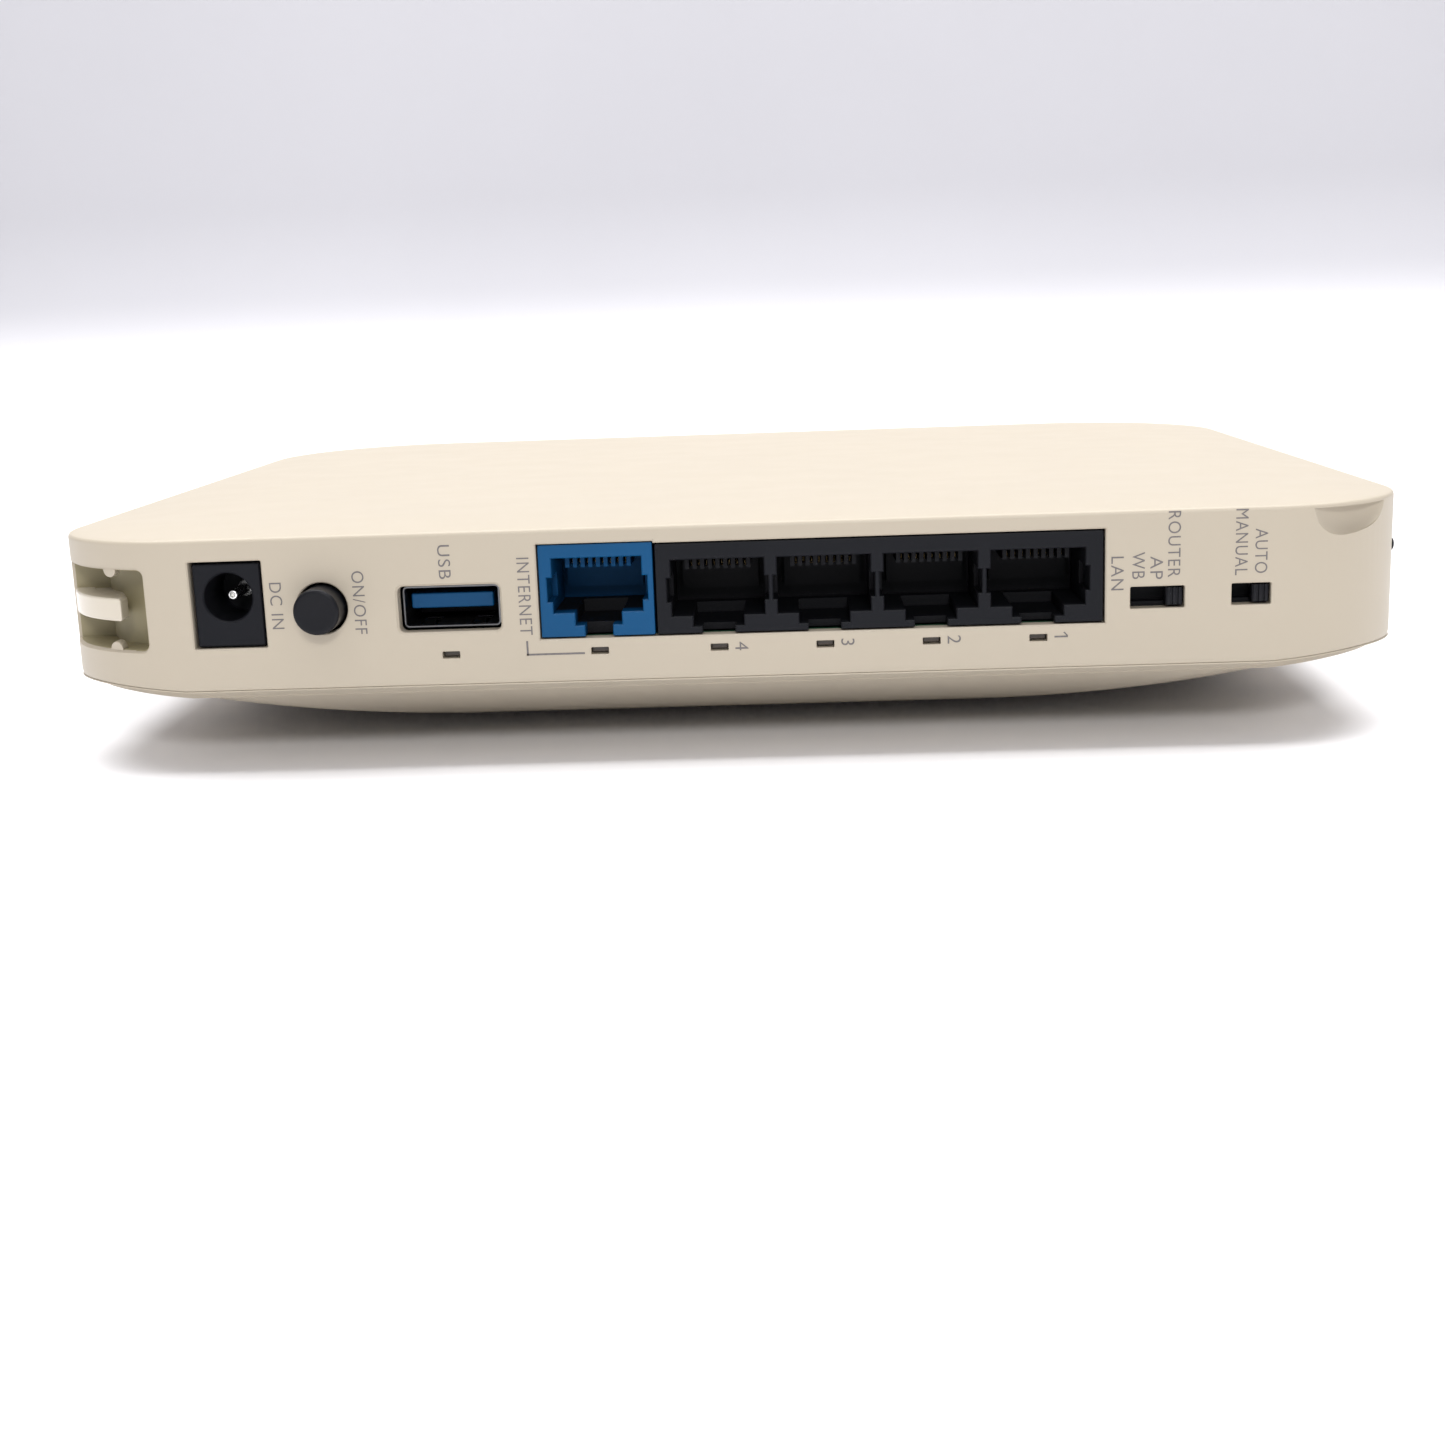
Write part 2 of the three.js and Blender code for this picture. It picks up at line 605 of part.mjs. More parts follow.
// Pan-head screws, built with the underside of the head at the origin and the shank downwards.
function screw(headRadius, headHeight, shankRadius, length) {
  const head = rodZ(0, 0, headRadius, 0, headHeight, 16);
  const recess = block(-headRadius * 0.6, -0.4, headHeight - 0.6, headRadius * 0.6, 0.4, headHeight + 1);
  const cross = block(-0.4, -headRadius * 0.6, headHeight - 0.6, 0.4, headRadius * 0.6, headHeight + 1);
  return head.subtract(recess).subtract(cross).add(rodZ(0, 0, shankRadius, -length, 0.2, 10));
}

CASE_SCREWS.forEach(([x, y], i) => {
  const upsideDown = screw(2.7, 1.8, 1.05, 12).rotate([180, 0, 0]);
  piece(casing, `case_screw_${i + 1}`, upsideDown, STEEL(), [x, y, COUNTERBORE.top - GAP]);
});
BOARD_SCREWS.forEach(([x, y], i) => {
  piece(electronics, `board_screw_${i + 1}`, screw(2.6, 1.5, 1.05, 7), STEEL(), [x, y, SEAT]);
});

piece(electronics, "wan_jack", jack(WAN_JACK, WAN_JACK_TOP, WAN_PORT, [WAN_JACK.centre]), BLUE());
piece(electronics, "lan_jack", jack(LAN_JACK, JACK_TOP, LAN_PORT, lanCentres()), BLACK());
piece(electronics, "wan_contacts", contactInsert(), GOLD(), [WAN_JACK.centre, 0, WAN_PORT.top]);
lanCentres().forEach((x, i) => {
  piece(electronics, `lan_contacts_${LAN_JACK.count - i}`, contactInsert(), GOLD(), [x, 0, LAN_PORT.top]);
});

piece(electronics, "dc_jack_housing", dcHousing(), BLACK());
piece(electronics, "dc_jack_pin", dcPin(), STEEL());
piece(electronics, "dc_jack_spring", dcSpring(), STEEL());
piece(electronics, "usb_shell", usbShell(), STEEL());
piece(electronics, "usb_tongue", usbTongue(), BLUE());

piece(electronics, "power_switch_body", powerSwitchBody(), BLACK());
piece(electronics, "power_button", powerButton(), BLACK());
piece(electronics, "mode_switch_body", slideSwitchBody(MODE), BLACK());
piece(electronics, "mode_slider", sliderKnob(MODE), BLACK());
piece(electronics, "auto_switch_body", slideSwitchBody(AUTO), BLACK());
piece(electronics, "auto_slider", sliderKnob(AUTO), BLACK());
piece(electronics, "setup_switch_body", setupSwitchBody(), BLACK());
piece(electronics, "setup_button", setupButton(), BLACK());

piece(electronics, "usb_light_guide", lightGuide([LAMP_USB_X]), CLEAR());
piece(electronics, "internet_light_guide", lightGuide([WAN_JACK.centre]), CLEAR());
piece(electronics, "lan_light_guide", lightGuide(lanCentres()), CLEAR());

// Six side-firing lamps under the board's rear edge.
const lamp = block(-1.5, BOARD_REAR, BOARD_UNDER - GAP - 0.9, 1.5, BOARD_REAR + 1, BOARD_UNDER - GAP);
[LAMP_USB_X, WAN_JACK.centre, ...lanCentres()].forEach((x, i) => {
  piece(electronics, `status_lamp_${i + 1}`, lamp, CLEAR(), [x, 0, 0]);
});

// A component that stands on the board: its centre in plan, its size and its height over the board.
function chip(name, x, y, width, depth, height, material, raise = 0) {
  const shape = block(-width / 2, -depth / 2, 0, width / 2, depth / 2, height);
  piece(electronics, name, shape, material, [x, y, SEAT + raise]);
}

chip("processor_chip", 0, -18, 27, 27, 1.6, BLACK());
chip("thermal_pad", 0, -18, 24, 24, 1, finish(0x8fa3b5, 0.8), 1.9);
chip("memory_chip", -30, -30, 13, 9, 1.1, BLACK());
chip("network_chip", 30, -38, 14, 14, 1.2, BLACK());
chip("wan_transformer", -16.3, -53.5, 13, 8, 5.6, BLACK());
chip("lan_transformer_1", 13, -53.5, 17, 8, 5.6, BLACK());
chip("lan_transformer_2", 36, -53.5, 17, 8, 5.6, BLACK());
chip("power_inductor", -53, -50, 10, 10, 5, finish(0x3a3a3c, 0.7));

[[-66, -54], [-66, -44]].forEach(([x, y], i) => {
  piece(electronics, `supply_capacitor_${i + 1}`, rodZ(0, 0, 4, 0, 11, 20), STEEL(), [x, y, SEAT]);
});

// A pressed cover with an open underside, over one radio's chip.
function shieldCan() {
  const { halfWidth, halfDepth, tall, sheet } = SHIELD;
  const inW = halfWidth - sheet;
  const inD = halfDepth - sheet;
  const can = block(-halfWidth, -halfDepth, 0, halfWidth, halfDepth, tall);
  return can.subtract(block(-inW, -inD, -1, inW, inD, tall - sheet));
}

[["low_band", -48], ["high_band", 48]].forEach(([band, x]) => {
  piece(electronics, `${band}_radio_shield`, shieldCan(), STEEL(), [x, SHIELD.y, SEAT]);
  chip(`${band}_radio_chip`, x, SHIELD.y, 12, 12, 1, BLACK());
});

// Fins on a plate that rests on the processor's pad.
function heatSink() {
  const { halfWidth, halfDepth, plate, tall, fins: count, fin } = HEAT_SINK;
  const base = block(-halfWidth, -halfDepth, 0, halfWidth, halfDepth, plate);
  const pitch = (2 * halfWidth - 4) / (count - 1);
  const fins = Array.from({ length: count }, (_, i) => {
    const x = (i - (count - 1) / 2) * pitch;
    return block(x - fin / 2, -halfDepth, plate / 2, x + fin / 2, halfDepth, tall);
  });
  return join([base, ...fins]);
}

piece(electronics, "heat_sink", heatSink(), finish(0xa8abae, 0.4, 1), [0, -18, SEAT + 3.2]);

ANTENNAS.forEach(([band, x]) => {
  const strip = block(
    -ANTENNA.half, -ANTENNA.thick / 2, ANTENNA.low,
    ANTENNA.half, ANTENNA.thick / 2, ANTENNA.high,
  );
  piece(electronics, `${band}_antenna`, strip, GREEN(), [x, ANTENNA.y, 0]);
});

// A thin coaxial lead from a radio's shield to its antenna.
function antennaLead(x) {
  const side = Math.sign(x);
  const start = SEAT + 3.6;
  const route = new THREE.CatmullRomCurve3([
    new THREE.Vector3(x, 24, start + 0.3),
    new THREE.Vector3(x, 34, start + 1.4),
    new THREE.Vector3(x + side * 5, 48, start + 1),
    new THREE.Vector3(x + side * 3, 60, start),
    new THREE.Vector3(x, ANTENNA.y - ANTENNA.thick / 2 - 1, start),
  ]);
  const section = new THREE.Shape();
  section.absarc(0, 0, 0.57, 0, 2 * Math.PI);
  return solid(new THREE.ExtrudeGeometry(section, { steps: 18, extrudePath: route, curveSegments: 4 }));
}

ANTENNAS.forEach(([band, x]) => {
  piece(electronics, `${band}_antenna_lead`, antennaLead(x), finish(0x2b2b2e, 0.6));
});

export default router;
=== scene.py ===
"""Looks of the wireless router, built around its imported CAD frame.

Shapes are worked out in millimetres in the frame's own axes and turned into metres as each mesh is made.
"""

import math
from collections import namedtuple

import bmesh
import bpy
from mathutils import Matrix, Vector


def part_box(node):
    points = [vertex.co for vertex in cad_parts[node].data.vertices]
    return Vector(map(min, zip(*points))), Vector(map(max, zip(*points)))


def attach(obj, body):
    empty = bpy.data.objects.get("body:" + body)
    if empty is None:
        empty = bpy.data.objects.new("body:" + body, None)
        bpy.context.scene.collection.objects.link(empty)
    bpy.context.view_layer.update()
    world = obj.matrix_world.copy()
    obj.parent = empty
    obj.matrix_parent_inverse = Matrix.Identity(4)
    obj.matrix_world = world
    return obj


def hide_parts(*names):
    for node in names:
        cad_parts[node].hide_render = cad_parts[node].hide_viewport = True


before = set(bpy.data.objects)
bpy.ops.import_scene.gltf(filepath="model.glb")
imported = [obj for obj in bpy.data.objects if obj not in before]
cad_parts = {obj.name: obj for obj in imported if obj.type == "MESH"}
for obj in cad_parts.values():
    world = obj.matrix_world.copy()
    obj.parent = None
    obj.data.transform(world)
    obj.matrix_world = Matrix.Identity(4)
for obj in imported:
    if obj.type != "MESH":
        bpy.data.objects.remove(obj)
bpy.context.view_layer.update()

MM = 0.001


# ---- Places taken from the frame ----

class Box:
    """A CAD node's box at rest, in millimetres."""

    def __init__(self, node):
        low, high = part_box(node)
        self.x0, self.y0, self.z0 = (v / MM for v in low)
        self.x1, self.y1, self.z1 = (v / MM for v in high)
        self.cx = (self.x0 + self.x1) / 2
        self.cy = (self.y0 + self.y1) / 2
        self.cz = (self.z0 + self.z1) / 2


TOP = Box("top_cover")
HALF_WIDTH = TOP.x1
HALF_DEPTH = TOP.y1
REAR = TOP.y0

# The casing's own numbers, which its box doesn't give.
REAR_CORNER = 20.0
FRONT_CORNER = 30.0
WALL = 2.3
ROOF = 1.8
CROWN = 0.8
BAND_TOP = TOP.z1 - CROWN
SEAM = TOP.z0 - 0.15
SEAM_ROUND = 0.16
SEAM_CORNER_RISE = 0.85
SEAM_END_RISE = 0.3
DOME_DRAW_X = 22.5
DOME_DRAW_Y = 45.5
DOME_RIM_X = 4.3
DOME_CORNER = 55.0

HOOK_RIGHT = -76.9
HOOK_LOW = 17.2
HOOK_HIGH = 28.0
HOOK_FRONT = -66.2
HOOK_DEEP = 5.0
HOOK_BAR = 3.1
HOOK_BAR_END = -80.6
HOOK_PIP_X = -82.0
HOOK_PIP = 1.0

# The fingertip scoop: half sizes of the dish, and its place round the corner and its turn, in degrees.
SCOOP_HALF = (8.5, 1.5, 5.0)
SCOOP_PLACE = 30
SCOOP_TURN = 36
SCOOP_BURIED = 0.3
SCOOP_RAISED = 0.6
SCOOP_TOP = 31.4

# Upright posts and holes inside the casing: radius, low end and high end.
CASE_SCREWS = [Box(f"case_screw_{n}") for n in (1, 2, 3, 4)]
BOARD_SCREWS = [Box(f"board_screw_{n}") for n in (1, 2, 3, 4)]
BOSS = (3.6, 17.6, 31)
BOSS_PILOT = (1.4, 17, 26)
SCREW_TUBE = (4.4, 1.0, 17.2)
BOARD_POST = (3, 2.0, 15.3)
BOARD_PILOT = (1.4, 8.6, 17)
WELL_RADIUS = 3.2
WELL_TOP = 12
SHANK_RADIUS = 1.5

# Posts that hold an antenna on edge, in pairs.
ANTENNA_POST_SPREAD = 10
ANTENNA_POST_HALF = 1
ANTENNA_POST_DEEP = 1.3
ANTENNA_POST_GAP = 0.3

JACK_FACE = Box("lan_jack").y0
PORT_DEPTH = 14.0


# ---- Mesh helpers ----

def new_object(name, data):
    """An object of the scene that shows a mesh, a word, a lamp or a camera."""
    made = bpy.data.objects.new(name, data)
    bpy.context.scene.collection.objects.link(made)
    return made


def mesh_piece(name, verts, faces):
    """An object from points in millimetres, with its faces turned outwards."""
    mesh = bpy.data.meshes.new(name)
    mesh.from_pydata([Vector(v) * MM for v in verts], [], faces)
    tidy = bmesh.new()
    tidy.from_mesh(mesh)
    bmesh.ops.recalc_face_normals(tidy, faces=tidy.faces)
    tidy.to_mesh(mesh)
    tidy.free()
    return new_object(name, mesh)


def loft(name, rings, closed_ends=True):
    """A skin over rings of equal length, with a flat cap at each end."""
    count = len(rings[0])
    verts = [p for ring in rings for p in ring]
    faces = []
    for row in range(len(rings) - 1):
        for i in range(count):
            a = row * count + i
            b = row * count + (i + 1) % count
            faces.append((a, b, b + count, a + count))
    if closed_ends:
        last = (len(rings) - 1) * count
        faces.append(tuple(reversed(range(count))))
        faces.append(tuple(range(last, last + count)))
    return mesh_piece(name, verts, faces)


def block(name, x0, y0, z0, x1, y1, z1, bevel=0.0, segments=2):
    """A box between two corners, with its edges rounded."""
    ring = [(x0, y0), (x1, y0), (x1, y1), (x0, y1)]
    piece = loft(name, [[(x, y, z) for x, y in ring] for z in (z0, z1)])
    if bevel:
        soften(piece, bevel, segments, 30)
    return piece


def apply_modifiers(piece):
    """Turns what a piece's modifiers show into its own mesh."""
    bpy.context.view_layer.update()
    shown = piece.evaluated_get(bpy.context.evaluated_depsgraph_get())
    mesh = bpy.data.meshes.new_from_object(shown)
    piece.modifiers.clear()
    old = piece.data
    piece.data = mesh
    bpy.data.meshes.remove(old)
    mesh.name = piece.name


def soften(piece, width, segments=2, angle=40):
    """Rounds every edge sharper than an angle."""
    bevel = piece.modifiers.new("bevel", "BEVEL")
    bevel.width = width * MM
    bevel.segments = segments
    bevel.limit_method = "ANGLE"
    bevel.angle_limit = math.radians(angle)
    bevel.use_clamp_overlap = True
    apply_modifiers(piece)


def combine(name, pieces):
    """Several pieces as one object."""
    whole = bmesh.new()
    for piece in pieces:
        whole.from_mesh(piece.data)
    mesh = bpy.data.meshes.new(name)
    whole.to_mesh(mesh)
    whole.free()
    discard(pieces)
    return new_object(name, mesh)


def discard(pieces):
    """Takes helper pieces and their meshes away again."""
    for piece in pieces:
        mesh = piece.data
        bpy.data.objects.remove(piece)
        bpy.data.meshes.remove(mesh)


def duplicate(piece):
    """A second piece of the same shape."""
    return new_object(piece.name, piece.data.copy())


def boolean(target, tools, operation="DIFFERENCE"):
    """Cuts, joins or intersects a piece with tools, which are used up."""
    for tool in tools:
        step = target.modifiers.new("boolean", "BOOLEAN")
        step.operation = operation
        step.solver = "MANIFOLD"
        step.object = tool
        apply_modifiers(target)
    discard(tools)
    return target


def shade(piece, angle=35):
    """Smooth shading with sharp edges kept, and flat faces kept flat."""
    piece.data.shade_smooth()
    piece.data.set_sharp_from_angle(angle=math.radians(angle))
    weighted = piece.modifiers.new("weighted_normals", "WEIGHTED_NORMAL")
    weighted.keep_sharp = True
    weighted.weight = 80
    return piece


# ---- Outlines ----

def body_outline(draw_x, draw_y, rear_radius, front_radius, steps=22):
    """The body's outline in plan, drawn in by some amount, with the height by which the seam rises there."""
    x = HALF_WIDTH - draw_x
    y = HALF_DEPTH - draw_y
    corners = [
        (-x, -y, rear_radius, 180), (x, -y, rear_radius, 270),
        (x, y, front_radius, 0), (-x, y, front_radius, 90),
    ]
    points = []
    for corner, (corner_x, corner_y, radius, start) in enumerate(corners):
        centre_x = corner_x - math.copysign(radius, corner_x)
        centre_y = corner_y - math.copysign(radius, corner_y)
        for i in range(steps + 1):
            along = i / steps
            turn = math.radians(start + 90 * along)
            towards_end = along if corner % 2 else 1 - along
            rise = SEAM_CORNER_RISE * math.sin(math.pi * along) + SEAM_END_RISE * towards_end ** 2
            points.append((centre_x + radius * math.cos(turn), centre_y + radius * math.sin(turn), rise))
    return points


def body_ring(z, inset, lift=0.0):
    """A level of the body moved inwards. With a lift of 1 it rises with the seam, and with 0 it is flat."""
    outline = body_outline(inset, inset, REAR_CORNER - inset, FRONT_CORNER - inset)
    return [(x, y, z + lift * rise) for x, y, rise in outline]


def body_prism(inset, low=0.0, high=40.0):
    """An upright solid of the body's outline moved inwards."""
    return loft("prism", [body_ring(low, inset), body_ring(high, inset)])


def core(inset):
    """The body's outline moved inwards, as a cutter that passes through the whole height."""
    return body_prism(inset, -5, 45)


def rounded_rect(x0, z0, x1, z1, radius, steps=4):
    """A counter-clockwise outline with round corners."""
    points = []
    for cx, cz, start in ((x0 + radius, z0 + radius, 180), (x1 - radius, z0 + radius, 270),
                          (x1 - radius, z1 - radius, 0), (x0 + radius, z1 - radius, 90)):
        for i in range(steps + 1):
            turn = math.radians(start + 90 * i / steps)
            points.append((cx + radius * math.cos(turn), cz + radius * math.sin(turn)))
    return points


def circle(cx, cz, radius, steps=48):
    turns = [2 * math.pi * i / steps for i in range(steps)]
    return [(cx + radius * math.cos(turn), cz + radius * math.sin(turn)) for turn in turns]


def grown(outline, amount):
    """A counter-clockwise outline moved outwards, with mitred corners."""
    points = []
    count = len(outline)
    for i in range(count):
        before = Vector(outline[i - 1])
        here = Vector(outline[i])
        after = Vector(outline[(i + 1) % count])
        a = (here - before).normalized()
        b = (after - here).normalized()
        out_a = Vector((a.y, -a.x))
        out_b = Vector((b.y, -b.x))
        mitre = (out_a + out_b).normalized()
        points.append(tuple(here + mitre * amount / max(mitre.dot(out_a), 0.3)))
    return points


def extrude_y(name, outline, levels):
    """An X-Z outline carried along Y: levels are (y, how far the outline is moved outwards there)."""
    rings = [[(x, y, z) for x, z in (grown(outline, amount) if amount else outline)] for y, amount in levels]
    return loft(name, rings)


def mouth(outline, face, back, chamfer=0.18):
    """A cutter for an opening in a wall that faces -Y, with a small chamfer round its mouth."""
    return extrude_y("mouth", outline, [(face - 1, chamfer), (face, chamfer), (face + chamfer, 0), (back, 0)])


def lathe(name, profile, place, axis="Y", steps=40):
    """A turned solid. The profile is (radius, distance along the axis), from the axis back to the axis."""
    verts = []
    faces = []
    rows = []
    for radius, along in profile:
        if radius < 1e-6:
            rows.append([len(verts)])
            verts.append((0, 0, along))
        else:
            rows.append(list(range(len(verts), len(verts) + steps)))
            for i in range(steps):
                turn = 2 * math.pi * i / steps
                verts.append((radius * math.cos(turn), radius * math.sin(turn), along))
    for low, high in zip(rows, rows[1:]):
        for i in range(steps):
            j = (i + 1) % steps
            corners = [low[i % len(low)], low[j % len(low)], high[j % len(high)], high[i % len(high)]]
            face = list(dict.fromkeys(corners))
            if len(face) > 2:
                faces.append(tuple(face))
    turned = {"X": lambda v: (v[2], v[0], v[1]), "Y": lambda v: (v[1], v[2], v[0]), "Z": lambda v: v}[axis]
    return mesh_piece(name, [Vector(turned(v)) + Vector(place) for v in verts], faces)


def upright(name, at, size):
    """A round post on a CAD node's middle. The size is (radius, low end, high end)."""
    radius, low, high = size
    return lathe(name, [(0, low), (radius, low), (radius, high), (0, high)], (at.cx, at.cy, 0), "Z")


def swept_wire(name, points, radius, steps=8):
    """A round wire along a list of points, with closed ends."""
    rings = []
    for i, point in enumerate(points):
        here = Vector(point)
        ahead = Vector(points[min(i + 1, len(points) - 1)])
        behind = Vector(points[max(i - 1, 0)])
        along = (ahead - behind).normalized()
        side = Vector((1, 0, 0)) if abs(along.x) < 0.9 else Vector((0, 0, 1))
        u = along.cross(side).normalized()
        v = along.cross(u)
        rings.append([tuple(here + radius * (math.cos(t) * u + math.sin(t) * v))
                      for t in (2 * math.pi * k / steps for k in range(steps))])
    return loft(name, rings)


# ---- Materials ----

class Material:
    """A procedural material: a Principled shader fed by noise in the object's own coordinates, in metres."""

    def __init__(self, name, roughness=0.5, metallic=0.0, ior=1.46):
        self.material = bpy.data.materials.new(name)
        self.material.use_nodes = True
        self.nodes = self.material.node_tree.nodes
        self.links = self.material.node_tree.links
        self.shader = self.nodes["Principled BSDF"]
        self.shader.inputs["Roughness"].default_value = roughness
        self.shader.inputs["Metallic"].default_value = metallic
        self.shader.inputs["IOR"].default_value = ior
        self.coordinates = self.nodes.new("ShaderNodeTexCoord").outputs["Object"]

    def noise(self, scale, detail=3.0, roughness=0.5, stretch=None):
        source = self.coordinates
        if stretch:
            mapping = self.nodes.new("ShaderNodeMapping")
            mapping.inputs["Scale"].default_value = stretch
            self.links.new(source, mapping.inputs["Vector"])
            source = mapping.outputs["Vector"]
        noise = self.nodes.new("ShaderNodeTexNoise")
        noise.inputs["Scale"].default_value = scale
        noise.inputs["Detail"].default_value = detail
        noise.inputs["Roughness"].default_value = roughness
        self.links.new(source, noise.inputs["Vector"])
        return noise.outputs["Fac"]

    def cells(self, scale):
        cells = self.nodes.new("ShaderNodeTexVoronoi")
        cells.inputs["Scale"].default_value = scale
        self.links.new(self.coordinates, cells.inputs["Vector"])
        return cells.outputs["Distance"]

    def ramp(self, factor, stops):
        ramp = self.nodes.new("ShaderNodeValToRGB")
        elements = ramp.color_ramp.elements
        while len(elements) < len(stops):
            elements.new(0.5)
        for element, (position, colour) in zip(elements, stops):
            element.position = position
            element.color = (*colour, 1)
        self.links.new(factor, ramp.inputs["Fac"])
        return ramp.outputs["Color"]

    def colour(self, factor, stops):
        self.links.new(self.ramp(factor, stops), self.shader.inputs["Base Color"])
        return self

    def vary_roughness(self, factor, low, high):
        spread = self.nodes.new("ShaderNodeMapRange")
        spread.inputs["From Min"].default_value = 0.3
        spread.inputs["From Max"].default_value = 0.7
        spread.inputs["To Min"].default_value = low
        spread.inputs["To Max"].default_value = high
        self.links.new(factor, spread.inputs["Value"])
        self.links.new(spread.outputs["Result"], self.shader.inputs["Roughness"])
        return self

    def bump(self, *layers):
        """Each layer is (height, depth in millimetres, strength)."""
        normal = None
        for height, depth, strength in layers:
            bump = self.nodes.new("ShaderNodeBump")
            bump.inputs["Distance"].default_value = depth * MM
            bump.inputs["Strength"].default_value = strength
            self.links.new(height, bump.inputs["Height"])
            if normal:
                self.links.new(normal, bump.inputs["Normal"])
            normal = bump.outputs["Normal"]
        self.links.new(normal, self.shader.inputs["Normal"])
        return self


def shades(colour, spread):
    """A darker and a lighter neighbour of a colour."""
    return [tuple(c * (1 - spread) for c in colour), tuple(min(1, c * (1 + spread)) for c in colour)]


def moulded(name, colour, roughness, grain=2600, depth=0.02, spread=0.03, specular=0.5):
    """Moulded plastic: fine spark-eroded grain, faint flow marks and a little uneven gloss."""
    made = Material(name, roughness)
    low, high = shades(colour, spread)
    cloud = made.noise(45, 4)
    made.colour(cloud, [(0.35, low), (0.65, high)])
    made.vary_roughness(made.noise(120, 3), roughness - 0.02, roughness + 0.02)
    made.bump((made.noise(grain, 2, 0.6), depth, 0.35), (made.cells(grain * 0.7), depth, 0.2))
    made.shader.inputs["Specular IOR Level"].default_value = specular
    return made.material


def metal(name, colour, roughness, stretch=(1, 1, 1), spread=0.06):
    """Plated metal: fine drawn scratches and slight tarnish."""
    made = Material(name, roughness, metallic=1.0)
    low, high = shades(colour, spread)
    made.colour(made.noise(400, 4), [(0.3, low), (0.7, high)])
    scratches = made.noise(3000, 3, 0.6, stretch)
    made.vary_roughness(scratches, roughness - 0.06, roughness + 0.1)
    made.bump((scratches, 0.004, 0.3))
    return made.material


def printed(name, colour):
    """Screen-printed ink with uneven cover."""
    made = Material(name, 0.55)
    low, high = shades(colour, 0.08)
    made.colour(made.noise(2200, 3), [(0.4, low), (0.6, high)])
    made.bump((made.noise(4000, 2), 0.004, 0.2))
    return made.material


def circuit_board(name):
    """Green solder mask with copper tracks under it; the mask is darkened to near black as painted shade
    where the board shows through the jacks' key slots.
    """
    made = Material(name, 0.35)
    brick = made.nodes.new("ShaderNodeTexBrick")
    brick.inputs["Scale"].default_value = 220
    brick.inputs["Mortar Size"].default_value = 0.08
    brick.inputs["Color1"].default_value = (0.006, 0.035, 0.018, 1)
    brick.inputs["Color2"].default_value = (0.008, 0.042, 0.022, 1)
    brick.inputs["Mortar"].default_value = (0.016, 0.075, 0.036, 1)
    made.links.new(made.coordinates, brick.inputs["Vector"])
    made.links.new(brick.outputs["Color"], made.shader.inputs["Base Color"])
    made.bump((brick.outputs["Fac"], 0.03, 0.4), (made.noise(1500, 2), 0.01, 0.2))
    return made.material


IVORY = moulded("ivory_plastic", (0.425, 0.374, 0.294), 0.46, grain=2400, depth=0.018, spread=0.008)
# A darker, duller copy of the ivory: painted shade for the faces inside the hook recess.
IVORY_IN_SHADE = moulded("ivory_painted_shade_plastic", (0.255, 0.222, 0.13), 0.6, grain=1800, depth=0.03, spread=0.04)
IVORY_GLOSS = moulded(
    "ivory_polished_plastic", (0.54, 0.49, 0.40), 0.22, grain=1500, depth=0.006, spread=0.01)
BLACK = moulded(
    "black_plastic", (0.0052, 0.0058, 0.0082), 0.46, grain=2200, depth=0.02, spread=0.1, specular=0.17)
BLACK_SATIN = moulded(
    "black_satin_plastic", (0.0055, 0.0058, 0.008), 0.38, grain=3000, depth=0.012, spread=0.08, specular=0.19)
# A darker copy of the black plastic, painted as shade on faces deep inside openings.
BLACK_IN_SHADE = moulded(
    "black_painted_shade_plastic", (0.0035, 0.0038, 0.0055), 0.6, grain=1500, depth=0.03, spread=0.1, specular=0.2)
# A darker copy of the blue plastic, painted as shade inside the blue jack.
BLUE_IN_SHADE = moulded(
    "blue_painted_shade_plastic", (0.0012, 0.045, 0.125), 0.55, grain=1500, depth=0.02, spread=0.08, specular=0.12)
BLUE = moulded(
    "blue_plastic", (0.0014, 0.062, 0.165), 0.4, grain=1800, depth=0.012, spread=0.06, specular=0.2)
BLUE_TONGUE = moulded(
    "blue_tongue_plastic", (0.0012, 0.055, 0.15), 0.42, grain=1800, depth=0.012, spread=0.06, specular=0.2)
STEEL = metal("nickel_plated_steel", (0.60, 0.61, 0.62), 0.28, stretch=(0.08, 1, 1))
SHELL_RIM = metal("plated_shell_rim", (0.17, 0.173, 0.178), 0.34, stretch=(0.08, 1, 1))
# A darker copy of the shell plating, painted as shade inside the memory stick socket.
STEEL_IN_SHADE = metal("plated_shell_painted_shade", (0.07, 0.072, 0.075), 0.36, stretch=(0.08, 1, 1))
PIN_METAL = metal("polished_pin", (0.92, 0.92, 0.90), 0.2)
GOLD = metal("gold_plated_wire", (0.42, 0.31, 0.15), 0.34)
ALUMINIUM = metal("extruded_aluminium", (0.62, 0.63, 0.65), 0.38, stretch=(1, 0.05, 1))
SCREW = metal("zinc_plated_screw", (0.55, 0.56, 0.58), 0.32)
BOARD = circuit_board("solder_mask_darkened_as_shade")
CHIP = moulded("moulded_chip", (0.02, 0.02, 0.021), 0.6, grain=1500, depth=0.02, spread=0.1)
FERRITE = moulded("ferrite", (0.05, 0.05, 0.052), 0.7, grain=900, depth=0.05, spread=0.15)
PAD = moulded("gap_pad", (0.35, 0.43, 0.52), 0.8, grain=900, depth=0.05, spread=0.05)
LENS = moulded("smoked_lamp_window", (0.06, 0.045, 0.032), 0.3, grain=1500, depth=0.01, spread=0.1)
JACKET = moulded("cable_jacket", (0.02, 0.02, 0.022), 0.45, grain=2000, depth=0.01, spread=0.1)
INK = printed("grey_ink", (0.135, 0.124, 0.122))


def add(piece, material, body="housing", replaces=(), angle=35):
    """Gives a piece its material, its shading and its body, and hides the CAD nodes it stands for."""
    piece.data.materials.clear()
    piece.data.materials.append(material)
    shade(piece, angle)
    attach(piece, body)
    if replaces:
        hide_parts(*replaces)
    return piece


